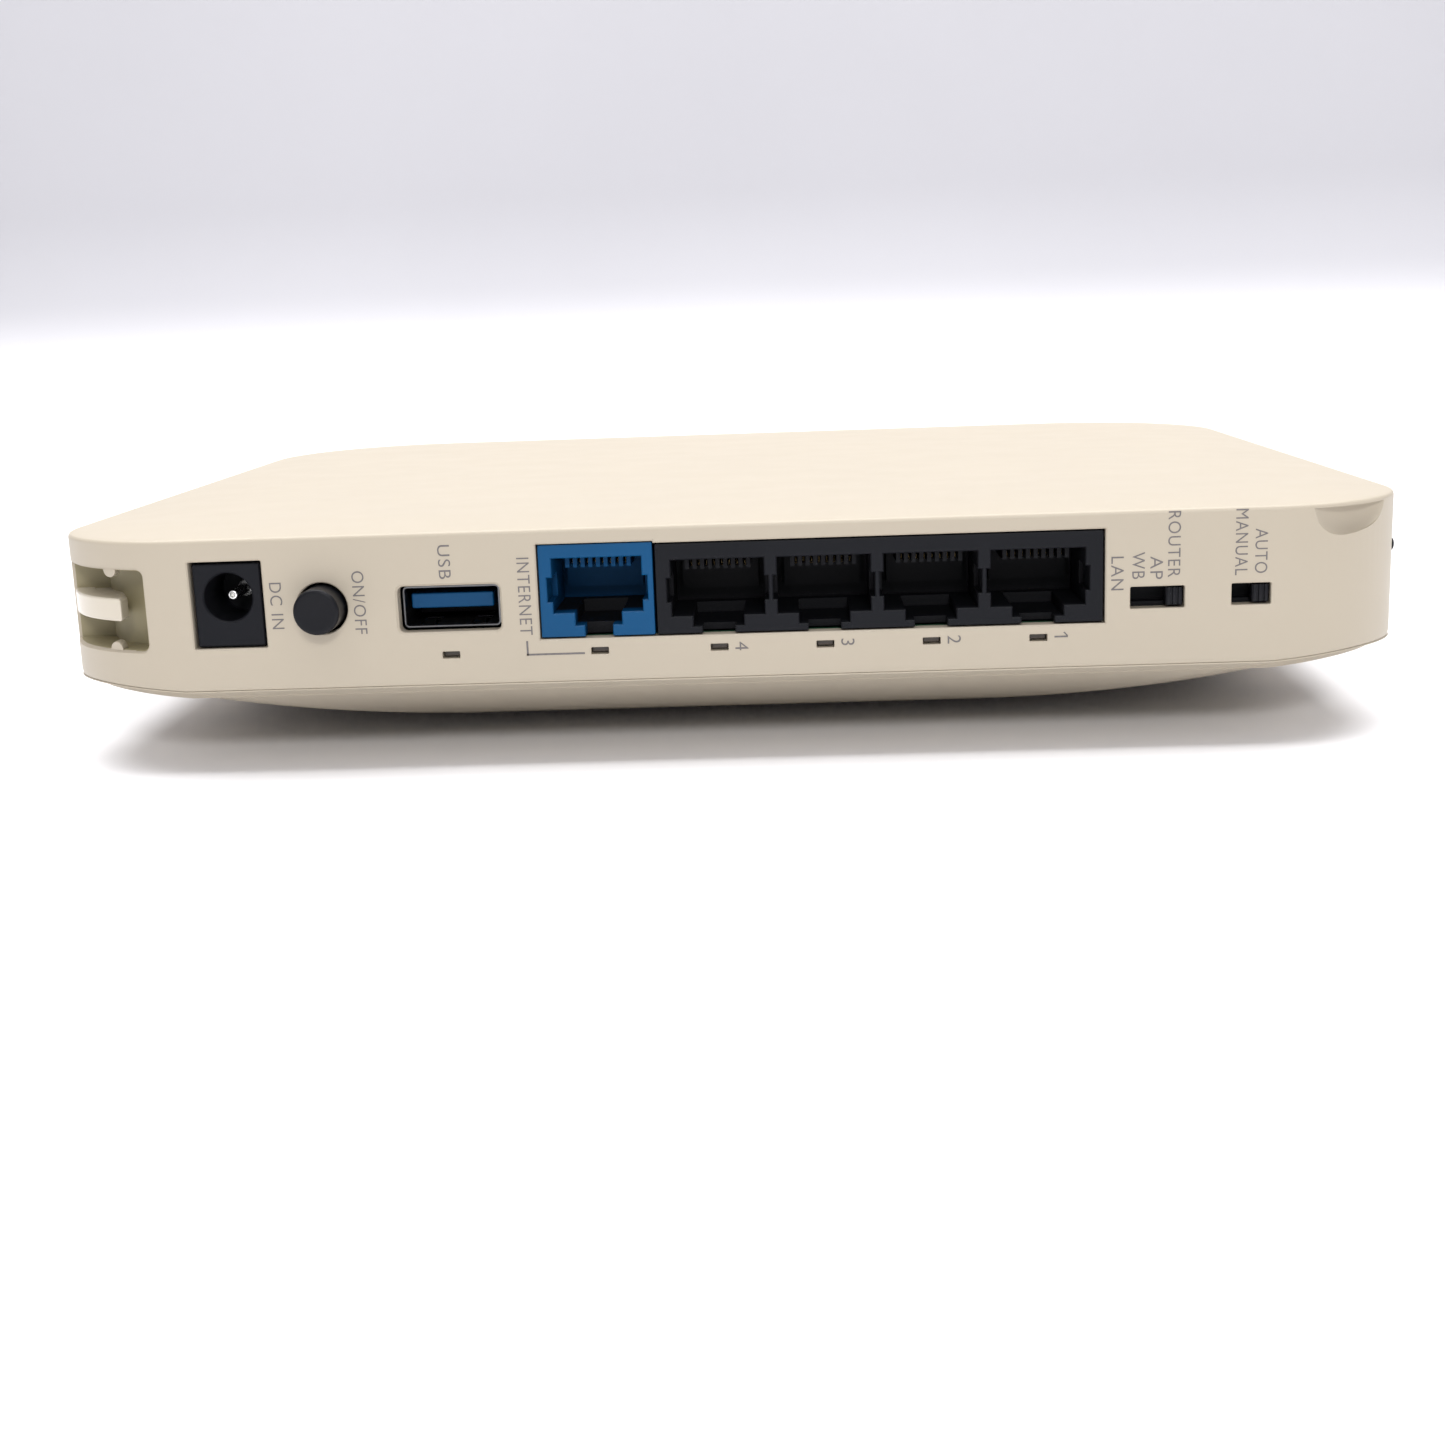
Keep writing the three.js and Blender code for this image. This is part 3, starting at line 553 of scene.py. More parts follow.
def face_in(piece, material, inside):
    """Gives the faces whose middle is inside a space, in millimetres, a further material."""
    piece.data.materials.append(material)
    last = len(piece.data.materials) - 1
    for face in piece.data.polygons:
        if inside(face.center / MM):
            face.material_index = last


def paint(node, material):
    """Gives a CAD node that stays as it is a better material."""
    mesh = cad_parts[node].data
    mesh.materials.clear()
    mesh.materials.append(material)


# ---- Casing ----

def rounded_rim(z, way):
    """Levels round a rim's outer edge, from the rim at z inwards: the way is 1 upwards and -1 downwards."""
    rings = []
    for degrees in (0, 22.5, 45, 67.5, 90):
        turn = math.radians(degrees)
        rings.append((SEAM_ROUND * (1 - math.sin(turn)), z + way * SEAM_ROUND * (1 - math.cos(turn))))
    return rings


def top_shell():
    """Top and side band in one moulding, with the openings of the port side."""
    low = [body_ring(z, inset + 0.07, 1) for inset, z in rounded_rim(SEAM + 0.01, 1)]
    low += [body_ring(SEAM + 0.42, 0.07, 1), body_ring(SEAM + 0.62, 0, 1)]
    edge = [(0.0, BAND_TOP - 0.6), (0.05, BAND_TOP - 0.35), (0.2, BAND_TOP - 0.12), (0.45, BAND_TOP)]
    crown = [(inset, BAND_TOP + CROWN * (1 - (1 - inset / 18) ** 2)) for inset in (1.5, 3, 5, 8, 12, 18)]
    shell = loft("top_shell", low + [body_ring(z, inset) for inset, z in edge + crown])
    boolean(shell, [loft("hollow", [body_ring(SEAM - 2, WALL), body_ring(BAND_TOP - ROOF, WALL)])])
    boolean(shell, [hook_walls(), *top_bosses(), *antenna_posts()], "UNION")
    for deep, grow in ((HOOK_DEEP, 0.0), (0.45, 0.1), (0.28, 0.2), (0.14, 0.32)):
        boolean(shell, [hook_mouth(grow, deep)])
    boolean(shell, port_mouths())
    boolean(shell, [scoop()])
    return shell


def top_bosses():
    """Posts under the top that the case screws bite into."""
    return [boolean(upright("boss", screw, BOSS), [upright("pilot", screw, BOSS_PILOT)])
            for screw in CASE_SCREWS]


def antenna_posts():
    """Pairs of posts under the top that hold each antenna on edge."""
    posts = []
    for strip in (Box("low_band_antenna"), Box("high_band_antenna")):
        for x in (strip.cx - ANTENNA_POST_SPREAD, strip.cx + ANTENNA_POST_SPREAD):
            for y in (strip.y0 - ANTENNA_POST_GAP - ANTENNA_POST_DEEP, strip.y1 + ANTENNA_POST_GAP):
                posts.append(block("post", x - ANTENNA_POST_HALF, y, 20,
                                   x + ANTENNA_POST_HALF, y + ANTENNA_POST_DEEP, 31))
    return posts


def hook_room(grow, low, high, front):
    """A space round the rear left corner, between two heights, whose right-hand corners are round."""
    radius = 0.9 + grow
    outline = rounded_rect(-HALF_WIDTH - 6, low - grow, HOOK_RIGHT + grow, high + grow, radius, 8)
    return extrude_y("room", outline, [(REAR - 3, 0), (front, 0)])


def hook_walls():
    """The walls and the floor that line the recess inside the casing."""
    walls = body_prism(1.0)
    boolean(walls, [hook_room(WALL, HOOK_LOW, HOOK_HIGH - 0.1, HOOK_FRONT + WALL)], "INTERSECT")
    return boolean(walls, [core(HOOK_DEEP + WALL)])


def hook_mouth(grow, deep):
    """A cutter for the recess, grown a little and only so deep, which steps its mouth's rounded edge."""
    opening = hook_room(grow, HOOK_LOW, HOOK_HIGH, HOOK_FRONT + grow)
    return boolean(opening, [core(deep)])


def hook_bar():
    """The polished bar across the recess: its face ends further right than the rib behind it."""
    middle = (HOOK_LOW + HOOK_HIGH) / 2
    bars = []
    # Insets of the outer and the inner side, right end, half height, corner radius and edge rounding.
    face = (0.25, 3.0, HOOK_BAR_END, HOOK_BAR / 2, 0.5, 0.35)
    rib = (2.6, HOOK_DEEP + 0.3, HOOK_BAR_END - 1.5, 1.45, 0.8, 0.5)
    for outer, inner, end, half, corner, edge in (face, rib):
        bar = body_prism(outer, 0, 45)
        outline = rounded_rect(-HALF_WIDTH - 6, middle - half, end, middle + half, corner, 8)
        boolean(bar, [extrude_y("strip", outline, [(REAR - 3, 0), (HOOK_FRONT + 0.5, 0)])], "INTERSECT")
        boolean(bar, [core(inner)])
        soften(bar, edge, 4, 50)
        bars.append(bar)
    return combine("hook_bar", bars)


def hook_snaps():
    """Two half-round snaps on the recess's upper and lower edges."""
    snaps = []
    for z in (HOOK_LOW, HOOK_HIGH):
        snap = extrude_y("snap", circle(HOOK_PIP_X, z, HOOK_PIP, 40), [(REAR, 0), (REAR + 12, 0)])
        boolean(snap, [body_prism(0.35)], "INTERSECT")
        boolean(snap, [core(2.2)])
        soften(snap, 0.2, 3, 50)
        snaps.append(snap)
    return combine("hook_snaps", snaps)


def scoop():
    """A dish for a fingertip round the rear right corner, deepest at its right end and below a thin lip."""
    at = math.radians(SCOOP_PLACE)
    reach = REAR_CORNER - SCOOP_BURIED
    ball = bmesh.new()
    bmesh.ops.create_uvsphere(ball, u_segments=64, v_segments=40, radius=1.0)
    mesh = bpy.data.meshes.new("scoop")
    ball.to_mesh(mesh)
    ball.free()
    corner_centre = Vector((HALF_WIDTH - REAR_CORNER, REAR + REAR_CORNER, BAND_TOP + SCOOP_RAISED))
    mesh.transform(Matrix.Diagonal((*SCOOP_HALF, 1)))
    mesh.transform(Matrix.Rotation(math.radians(SCOOP_TURN), 4, "Z"))
    mesh.transform(Matrix.Translation(corner_centre + reach * Vector((math.sin(at), -math.cos(at), 0))))
    mesh.transform(Matrix.Scale(MM, 4))
    dish = new_object("scoop", mesh)
    below_lip = block("below_lip", 0, REAR - 1, 0, HALF_WIDTH + 1, 0, SCOOP_TOP)
    return boolean(dish, [below_lip], "INTERSECT")


# Openings of the port side: lamp slots, switch windows as (left, low, right, high), and round holes.
LAMP_Z = 15.62
LAMP_WIDTH = 2.35
LAMP_HEIGHT = 0.95
LAN_CENTRES = [Box(f"lan_contacts_{n}").cx for n in (4, 3, 2, 1)]
WAN_CENTRE = Box("wan_contacts").cx
LAMP_CENTRES = [Box("usb_light_guide").cx, WAN_CENTRE, *LAN_CENTRES]
MODE_WINDOW = (53.33, 19.06, 60.41, 21.97)
AUTO_WINDOW = (66.44, 19.17, 71.56, 22.04)
DC_WINDOW = (-70.45, 17.3, -60.65, 29.0)
POWER_HOLE = 3.42
SETUP_HOLE = 1.2


def jack_window():
    """One outline for both jacks: the blue one stands a little higher."""
    wan = Box("wan_jack")
    lan = Box("lan_jack")
    low = wan.z0 - 0.2
    step = wan.x1 + 0.12
    return [
        (wan.x0 - 0.2, low), (lan.x1 + 0.2, low), (lan.x1 + 0.2, lan.z1 + 0.2),
        (step, lan.z1 + 0.2), (step, wan.z1 + 0.15), (wan.x0 - 0.2, wan.z1 + 0.15),
    ]


def port_mouths():
    """Cutters for every opening of the port side and for the button at the right end."""
    back = REAR + WALL + 0.6
    usb = Box("usb_shell")
    power = Box("power_button")
    setup = Box("setup_button")
    gap = 0.25
    usb_window = rounded_rect(usb.x0 - gap, usb.z0 - gap, usb.x1 + gap, usb.z1 + gap, 0.8)
    cutters = [
        mouth(jack_window(), REAR, back),
        mouth(rounded_rect(*DC_WINDOW, 0.2), REAR, back),
        mouth(usb_window, REAR, back, 0.3),
        mouth(rounded_rect(*MODE_WINDOW, 0.2), REAR, back, 0.12),
        mouth(rounded_rect(*AUTO_WINDOW, 0.2), REAR, back, 0.12),
        mouth(circle(power.cx, power.cz, POWER_HOLE, 64), REAR, back, 0.15),
    ]
    for x in LAMP_CENTRES:
        window = rounded_rect(x - LAMP_WIDTH / 2, LAMP_Z - LAMP_HEIGHT / 2,
                              x + LAMP_WIDTH / 2, LAMP_Z + LAMP_HEIGHT / 2, 0.12)
        cutters.append(mouth(window, REAR, back, 0.06))
    cutters.append(lathe("setup_hole", [(0, -8), (SETUP_HOLE, -8), (SETUP_HOLE, 8), (0, 8)],
                         (HALF_WIDTH, setup.cy, setup.cz), "X"))
    return cutters


def dome_ring(t, inset, raised):
    """A level of the underside: 0 is the rim at the seam, and 1 the flat."""
    rim = SEAM - 0.01
    z = (rim - raised) * (1 - t) ** 2 + raised
    draw_x = DOME_RIM_X * (1 - (1 - t) ** 12) + DOME_DRAW_X * t ** 1.24 + inset
    draw_y = DOME_DRAW_Y * t + inset
    rear = min(REAR_CORNER + (DOME_CORNER - REAR_CORNER) * t, HALF_DEPTH - draw_y - 0.01)
    front = min(FRONT_CORNER + (DOME_CORNER - FRONT_CORNER) * t, HALF_DEPTH - draw_y - 0.01)
    outline = body_outline(draw_x, draw_y, rear - inset / 2, front - inset / 2)
    return [(x, y, z + (1 - t) * rise) for x, y, rise in outline]


def bottom_shell():
    """Domed underside with the wells of the case screws and the posts of the board."""
    levels = [(i / 36) ** 1.35 for i in range(37)]
    outer = [dome_ring(t, 0, 0) for t in reversed(levels[3:])]
    outer += [body_ring(z, inset, 1) for inset, z in reversed(rounded_rim(SEAM - 0.01, -1))]
    shell = loft("bottom_shell", outer)
    inner = [dome_ring(t, WALL, WALL) for t in reversed(levels[::2])]
    inner.append([(x, y, z + 2) for x, y, z in dome_ring(0, WALL, WALL)])
    boolean(shell, [loft("hollow", inner)])
    posts = [upright("tube", screw, SCREW_TUBE) for screw in CASE_SCREWS]
    posts += [upright("post", screw, BOARD_POST) for screw in BOARD_SCREWS]
    room = loft("room", outer + [[(x, y, 35) for x, y, z in outer[-1]]])
    for post in posts:
        boolean(post, [duplicate(room)], "INTERSECT")
    discard([room])
    boolean(shell, posts, "UNION")
    holes = [upright("pilot", screw, BOARD_PILOT) for screw in BOARD_SCREWS]
    well = [(0, -1), (WELL_RADIUS, -1), (WELL_RADIUS, WELL_TOP),
            (SHANK_RADIUS, WELL_TOP), (SHANK_RADIUS, 18), (0, 18)]
    holes += [lathe("well", well, (screw.cx, screw.cy, 0), "Z") for screw in CASE_SCREWS]
    return boolean(shell, holes)


def seam_lip():
    """The bottom's lip inside the band, which closes the seam."""
    near = WALL + 0.35
    lip = loft("seam_lip", [body_ring(SEAM - 1.4, near, 1), body_ring(SEAM + 1.75, near, 1)])
    far = WALL + 1.4
    return boolean(lip, [loft("hole", [body_ring(SEAM - 4, far), body_ring(SEAM + 5, far)])])


def in_hook_recess(point):
    """Whether a point of the casing lies on the recess's inner faces."""
    across = Vector((point.x + HALF_WIDTH - REAR_CORNER, point.y - REAR - REAR_CORNER))
    depth = REAR_CORNER - across.length
    return (point.x < HOOK_RIGHT + 0.05 and point.y < HOOK_FRONT + 0.05
            and HOOK_LOW - 0.05 < point.z < HOOK_HIGH + 0.05 and 0.4 < depth < HOOK_DEEP + 0.2)


# The hook recess's inner faces take the darker ivory as painted shade.
face_in(add(top_shell(), IVORY, replaces=["top_cover"]), IVORY_IN_SHADE, in_hook_recess)
add(hook_bar(), IVORY_GLOSS, replaces=["top_cover"])
add(hook_snaps(), IVORY, replaces=["top_cover"])
add(bottom_shell(), IVORY, replaces=["bottom_cover"])
add(seam_lip(), IVORY, replaces=["bottom_cover"])


# ---- Network jacks ----

# The sizes of one network port's opening: half widths from its middle, and heights.
Port = namedtuple("Port", "half top bottom shoulder shoulder_top shoulder_bottom latch latch_bottom key")
WAN_PORT = Port(5.95, 28.0, 20.7, 6.65, 25.45, 22.2, 3.1, 19.0, 1.85)
LAN_PORT = Port(6.15, 27.3, 19.8, 6.7, 24.9, 21.7, 3.35, 18.4, 2.15)


def port_outline(port, x, low):
    """The port's whole opening as seen from the front, open at the low edge."""
    right = [
        (port.key, low), (port.key, port.latch_bottom), (port.latch, port.latch_bottom),
        (port.latch, port.bottom), (port.half, port.bottom), (port.half, port.shoulder_bottom),
        (port.shoulder, port.shoulder_bottom), (port.shoulder, port.shoulder_top),
        (port.half, port.shoulder_top), (port.half, port.top),
    ]
    left = [(-u, z) for u, z in reversed(right)]
    return [(x + u, z) for u, z in right + left]


def port_cutters(port, x, low):
    """The opening's mouth, then the plug's way behind it with the hollow for the wires above."""
    shallow = mouth(port_outline(port, x, low - 1), JACK_FACE, JACK_FACE + 3, 0.14)
    back = JACK_FACE + PORT_DEPTH
    return [
        [shallow],
        [block("way", x - port.half, JACK_FACE + 1, port.bottom, x + port.half, back, port.top)],
        [block("sides", x - port.shoulder, JACK_FACE + 1, port.shoulder_bottom,
               x + port.shoulder, JACK_FACE + 6, port.shoulder_top)],
        [block("latch", x - port.latch, JACK_FACE + 1, port.latch_bottom,
               x + port.latch, back - 2, port.bottom + 1)],
    ]


def jack_body(name, node, port, centres):
    """A jack's housing with the openings of its ports."""
    box = Box(node)
    body = block(name, box.x0, box.y0, box.z0, box.x1, box.y1, box.z1, 0.2, 2)
    for x in centres:
        for cutters in port_cutters(port, x, box.z0):
            boolean(body, cutters)
    return body


WIRE_COUNT = 8
WIRE_PITCH = 1.02
WIRE_RADIUS = 0.16


def contact_wires(name, x, top):
    """Eight sprung wires that turn back from the port's upper edge and slope down to the back."""
    front = JACK_FACE + 4.6
    back = JACK_FACE + PORT_DEPTH
    wires = []
    for i in range(WIRE_COUNT):
        wire_x = x + (i - (WIRE_COUNT - 1) / 2) * WIRE_PITCH
        route = [(back - 1.0, -0.45), (front + 1.6, -0.42), (front + 0.6, -0.5), (front + 0.1, -0.85),
                 (front, -1.15), (front + 0.5, -1.4), (front + 3.4, -1.75), (back - 1.3, -2.6)]
        wires.append(swept_wire("wire", [(wire_x, y, top + dz) for y, dz in route], WIRE_RADIUS, 10))
    return combine(name, wires)


def contact_holder(name, x, top):
    """The insert behind the wires: a block at the back, and ribs between the wires' front bends."""
    back = JACK_FACE + PORT_DEPTH - 0.3
    pieces = [block("core", x - 5.2, back - 1.4, top - 5.6, x + 5.2, back, top - 0.4)]
    half = 0.27
    for i in range(WIRE_COUNT + 1):
        rib_x = x + (i - WIRE_COUNT / 2) * WIRE_PITCH
        pieces.append(block("rib", rib_x - half, JACK_FACE + 2.6, top - 1.6,
                            rib_x + half, back - 1.5, top - 0.1))
    return combine(name, pieces)


def network_jack(prefix, node, port, contacts, plastic, shaded_plastic):
    """A jack's body, with a darker copy of its plastic inside and black low down at the back, both painted
    shade, and each port's wires and their holder.
    """
    box = Box(node)
    centres = [Box(c).cx for c in contacts]
    body = add(jack_body(f"{prefix}_jack_body", node, port, centres), plastic, replaces=[node])
    # Faces inside the port take the darker plastic as painted shade.
    face_in(body, shaded_plastic, lambda point: JACK_FACE + 1.2 < point.y < JACK_FACE + PORT_DEPTH + 0.1)
    # Faces low down at the back of the key slot are painted black as shade.
    face_in(body, BLACK_IN_SHADE,
            lambda point: point.y > JACK_FACE + 2.9 and box.z0 < point.z < port.bottom + 0.1)
    for contact, x in zip(contacts, centres):
        add(contact_wires(f"{contact}_wires", x, port.top), GOLD, replaces=[contact])
        # The holder deep in the port takes the darker plastic as painted shade.
        add(contact_holder(f"{contact}_holder", x, port.top), shaded_plastic, replaces=[contact])


network_jack("wan", "wan_jack", WAN_PORT, ["wan_contacts"], BLUE, BLUE_IN_SHADE)
network_jack("lan", "lan_jack", LAN_PORT, [f"lan_contacts_{n}" for n in (4, 3, 2, 1)], BLACK, BLACK_IN_SHADE)


# ---- Supply inlet ----

DC_BORE = 3.25
DC_DEPTH = 9.4
PIN_RADIUS = 0.7
PIN_ROUND = 0.3
PIN_HOLE = 0.3


def dc_inlet():
    """The inlet's body with its bore, the hollow pin in the middle and the leaf spring beside it."""
    box = Box("dc_jack_housing")
    pin = Box("dc_jack_pin")
    spring = Box("dc_jack_spring")
    bottom = box.y0 + DC_DEPTH
    body = block("dc_inlet_body", box.x0, box.y0, box.z0, box.x1, box.y1, box.z1, 0.3, 3)
    boolean(body, [mouth(circle(pin.cx, pin.cz, DC_BORE, 64), box.y0, bottom, 0.2)])
    slot = block("slot", pin.cx + 2.4, box.y0 + 1.6, pin.cz - 1.2, pin.cx + 4.1, bottom, pin.cz + 1.2)
    boolean(body, [slot])
    add(body, BLACK, replaces=["dc_jack_housing"])
    # The bore's inner faces take the darker black as painted shade.
    face_in(body, BLACK_IN_SHADE, lambda point: box.y0 + 0.3 < point.y < bottom + 0.1
            and math.hypot(point.x - pin.cx, point.z - pin.cz) < DC_BORE + 1)
    tip = pin.y0 - pin.y1
    profile = [(0, 0), (1.1, 0), (1.1, -0.5), (PIN_RADIUS, -0.6)]
    for degrees in range(0, 91, 15):
        turn = math.radians(degrees)
        profile.append((PIN_RADIUS - PIN_ROUND * (1 - math.cos(turn)),
                        tip + PIN_ROUND * (1 - math.sin(turn))))
    profile += [(PIN_HOLE + 0.04, tip + 0.04), (PIN_HOLE, tip + 0.12), (PIN_HOLE, tip + 1.5), (0, tip + 1.5)]
    add(lathe("dc_inlet_pin", profile, (pin.cx, pin.y1, pin.cz)), PIN_METAL,
        replaces=["dc_jack_pin"])
    leaf = [(2.75, 2.2), (3.1, 2.2), (2.95, 5), (3.7, 9), (3.35, 9), (2.6, 5)]
    rings = [[(pin.cx + u, box.y0 + v, z) for u, v in leaf] for z in (spring.z0, spring.z1)]
    leaf_piece = loft("dc_inlet_leaf", rings)
    soften(leaf_piece, 0.05, 1, 30)
    add(leaf_piece, STEEL, replaces=["dc_jack_spring"])


dc_inlet()


# ---- Memory stick socket ----

USB_SHEET = 0.4
USB_SPRING_X = 3.4
USB_SPRING_HALF = 0.8
USB_SPRING_THICK = 0.18
USB_ROOT_FACE = -70
USB_BLADE_HALF = 5.5
USB_BLADE_THICK = 2.0


def usb_socket():
    """The plated shell with its sprung windows, and the tongue with four contacts under its blade."""
    shell = Box("usb_shell")
    tongue = Box("usb_tongue")
    outer = rounded_rect(shell.x0, shell.z0, shell.x1, shell.z1, 0.7, 6)
    inner = grown(outer, -USB_SHEET)
    tube = extrude_y("usb_socket_shell", outer, [(shell.y0, -0.1), (shell.y0 + 0.1, 0), (shell.y1, 0)])
    bore = [(shell.y0 - 1, 0.12), (shell.y0, 0.12), (shell.y0 + 0.25, 0), (shell.y1 + 1, 0)]
    boolean(tube, [extrude_y("bore", inner, bore)])
    for side in (-1, 1):
        x = shell.cx + side * USB_SPRING_X
        for z0, z1 in ((shell.z1 - 0.6, shell.z1 + 0.5), (shell.z0 - 0.5, shell.z0 + 0.6)):
            boolean(tube, [block("window", x - 1.1, shell.y0 + 0.5, z0, x + 1.1, shell.y0 + 6.5, z1)])
    add(tube, SHELL_RIM, replaces=["usb_shell"])
    # Behind the front rim the shell takes the darker plating as painted shade.
    face_in(tube, STEEL_IN_SHADE, lambda point: point.y > shell.y0 + 0.3)
    springs = []
    for side in (-1, 1):
        left = shell.cx + side * USB_SPRING_X - USB_SPRING_HALF
        right = left + 2 * USB_SPRING_HALF
        for edge, inwards in ((shell.z1, -1), (shell.z0, 1)):
            rings = []
            for along, dip in ((0.8, 0.15), (2.6, 0.62), (3.6, 0.55), (6.3, 0.12)):
                y = shell.y0 + along
                near = edge + inwards * dip
                far = edge + inwards * (dip + USB_SPRING_THICK)
                rings.append([(left, y, near), (right, y, near), (right, y, far), (left, y, far)])
            springs.append(loft("spring", rings))
    # The springs inside the shell take the darker plating as painted shade.
    add(combine("usb_socket_springs", springs), STEEL_IN_SHADE, replaces=["usb_shell"])
    root = block("root", tongue.x0, USB_ROOT_FACE, tongue.z0, tongue.x1, tongue.y1, tongue.z1, 0.1, 1)
    blade_low = shell.cz - 0.3
    blade = block("blade", shell.cx - USB_BLADE_HALF, tongue.y0, blade_low,
                  shell.cx + USB_BLADE_HALF, USB_ROOT_FACE + 0.1, blade_low + USB_BLADE_THICK, 0.22, 3)
    moulding = combine("usb_socket_tongue", [root, blade])
    add(moulding, BLUE_TONGUE, replaces=["usb_tongue"])
    # The tongue's root at the back of the socket is painted black as shade.
    face_in(moulding, BLACK_IN_SHADE, lambda point: point.y > USB_ROOT_FACE - 0.3)
    pads = []
    for offset in (-3.5, -1.0, 1.0, 3.5):
        x = shell.cx + offset
        pads.append(block("pad", x - 0.5, tongue.y0 + 1.2, blade_low - 0.08,
                          x + 0.5, USB_ROOT_FACE - 0.2, blade_low + 0.1, 0.05, 1))
    add(combine("usb_socket_contacts", pads), GOLD, replaces=["usb_tongue"])


usb_socket()


# ---- Buttons and switches ----

CAP_BACK = -76.6
POWER_EDGE = 0.45
POWER_STEM_HALF = 1.5
KNOB_BACK = -78.15
RIDGE_COUNT = 3
SETUP_CAP = 0.95


def power_button():
    """A round cap with a softly rounded edge and a slight dish, on a square stem."""
    box = Box("power_button")
    radius = (box.x1 - box.x0) / 2
    edge = [(radius - POWER_EDGE * (1 - math.sin(a)), box.y0 + POWER_EDGE * (1 - math.cos(a)))
            for a in (math.radians(d) for d in range(0, 91, 15))]
    dish = [(0, box.y0 + 0.06), (radius * 0.5, box.y0 + 0.05), (radius * 0.72, box.y0 + 0.02)]
    profile = dish + edge + [(radius, CAP_BACK), (0, CAP_BACK)]
    cap = lathe("power_button_cap", profile, (box.cx, 0, box.cz), steps=72)
    stem = block("stem", box.cx - POWER_STEM_HALF, CAP_BACK - 0.2, box.cz - POWER_STEM_HALF,
                 box.cx + POWER_STEM_HALF, -70, box.cz + POWER_STEM_HALF, 0.1, 1)
    add(combine("power_button_cap", [cap, stem]), BLACK_SATIN,
        "power_button", ["power_button"])


def slider(name, body):
    """A slide switch's knob with grip ridges on its face."""
    box = Box(body)
    face = box.y0
    knob = block(f"{name}_knob", box.x0, face + 0.25, box.z0, box.x1, KNOB_BACK, box.z1, 0.12, 2)
    ridges = []
    half = 0.24
    for i in range(RIDGE_COUNT):
        x = box.x0 + (i + 0.5) * (box.x1 - box.x0) / RIDGE_COUNT
        ridges.append(block("ridge", x - half, face, box.z0 + 0.05,
                            x + half, face + 0.45, box.z1 - 0.05, 0.09, 2))
    stem = block("stem", box.x0 + 0.3, KNOB_BACK - 0.1, box.cz - 0.65, box.x1 - 0.3, CAP_BACK, box.cz + 0.65)
    add(combine(f"{name}_knob", [knob, stem, *ridges]), BLACK_SATIN, body, [body])


def setup_button():
    """A small pin with a flange inside the casing and a rounded tip."""
    box = Box("setup_button")
    flange = (box.z1 - box.z0) / 2
    tip = box.x1
    stem = [(0, box.x0), (0.9, box.x0), (0.9, box.x0 + 0.5)]
    collar = [(flange, box.x0 + 0.5), (flange, box.x0 + 1.1)]
    cap = [(SETUP_CAP, box.x0 + 1.1)]
    for share, below in ((1, 0.45), (0.93, 0.25), (0.75, 0.1), (0.4, 0.02), (0, 0)):
        cap.append((SETUP_CAP * share, tip - below))
    add(lathe("setup_button_cap", stem + collar + cap, (0, box.cy, box.cz), "X"), BLACK_SATIN,
        "setup_button", ["setup_button"])


power_button()
slider("mode_switch", "mode_slider")
slider("auto_switch", "auto_slider")
setup_button()


# ---- Printed labels on the port side: plain function words that read downwards ----

INK_PROUD = 0.02
INK_THICK = 0.01
CAP_HEIGHT = 1.62
DIGIT_HEIGHT = 1.75
DIGIT_ASIDE = 2.95
INTERNET_X = -25.95
LINE_HALF = 0.13
LINE_Z = 15.35
LINE_END = -18.35


def text_mesh(body):
    """A word as a mesh with its low left corner at the origin and its capitals one unit tall."""
    curve = bpy.data.curves.new("word", "FONT")
    curve.body = body
    curve.size = 1.0
    curve.space_character = 1.12
    curve.offset = -0.003
    curve.extrude = 0.0
    word = new_object("word", curve)
    bpy.context.view_layer.update()
    mesh = bpy.data.meshes.new_from_object(word.evaluated_get(bpy.context.evaluated_depsgraph_get()))
    bpy.data.objects.remove(word)
    bpy.data.curves.remove(curve)
    xs = [v.co.x for v in mesh.vertices]
    ys = [v.co.y for v in mesh.vertices]
    mesh.transform(Matrix.Translation((-min(xs), -min(ys), 0)))
    scale = 1 / (max(ys) - min(ys))
    mesh.transform(Matrix.Diagonal((scale, scale, 1, 1)))
    return mesh


def label(body, x, top, bottom=None, cap=CAP_HEIGHT):
    """A word that reads downwards, with its letters standing towards +X, stretched to end at a bottom."""
    mesh = text_mesh(body)
    natural = max(v.co.x for v in mesh.vertices)
    length = cap if bottom is None else (top - bottom) / natural
    mesh.transform(Matrix.Diagonal((length, cap, 1, 1)))
    downwards = Matrix(((0, 1, 0, x - cap / 2), (0, 0, -1, REAR - INK_PROUD), (-1, 0, 0, top), (0, 0, 0, 1)))
    mesh.transform(downwards)
    mesh.transform(Matrix.Scale(MM, 4))
    return new_object(body, mesh)


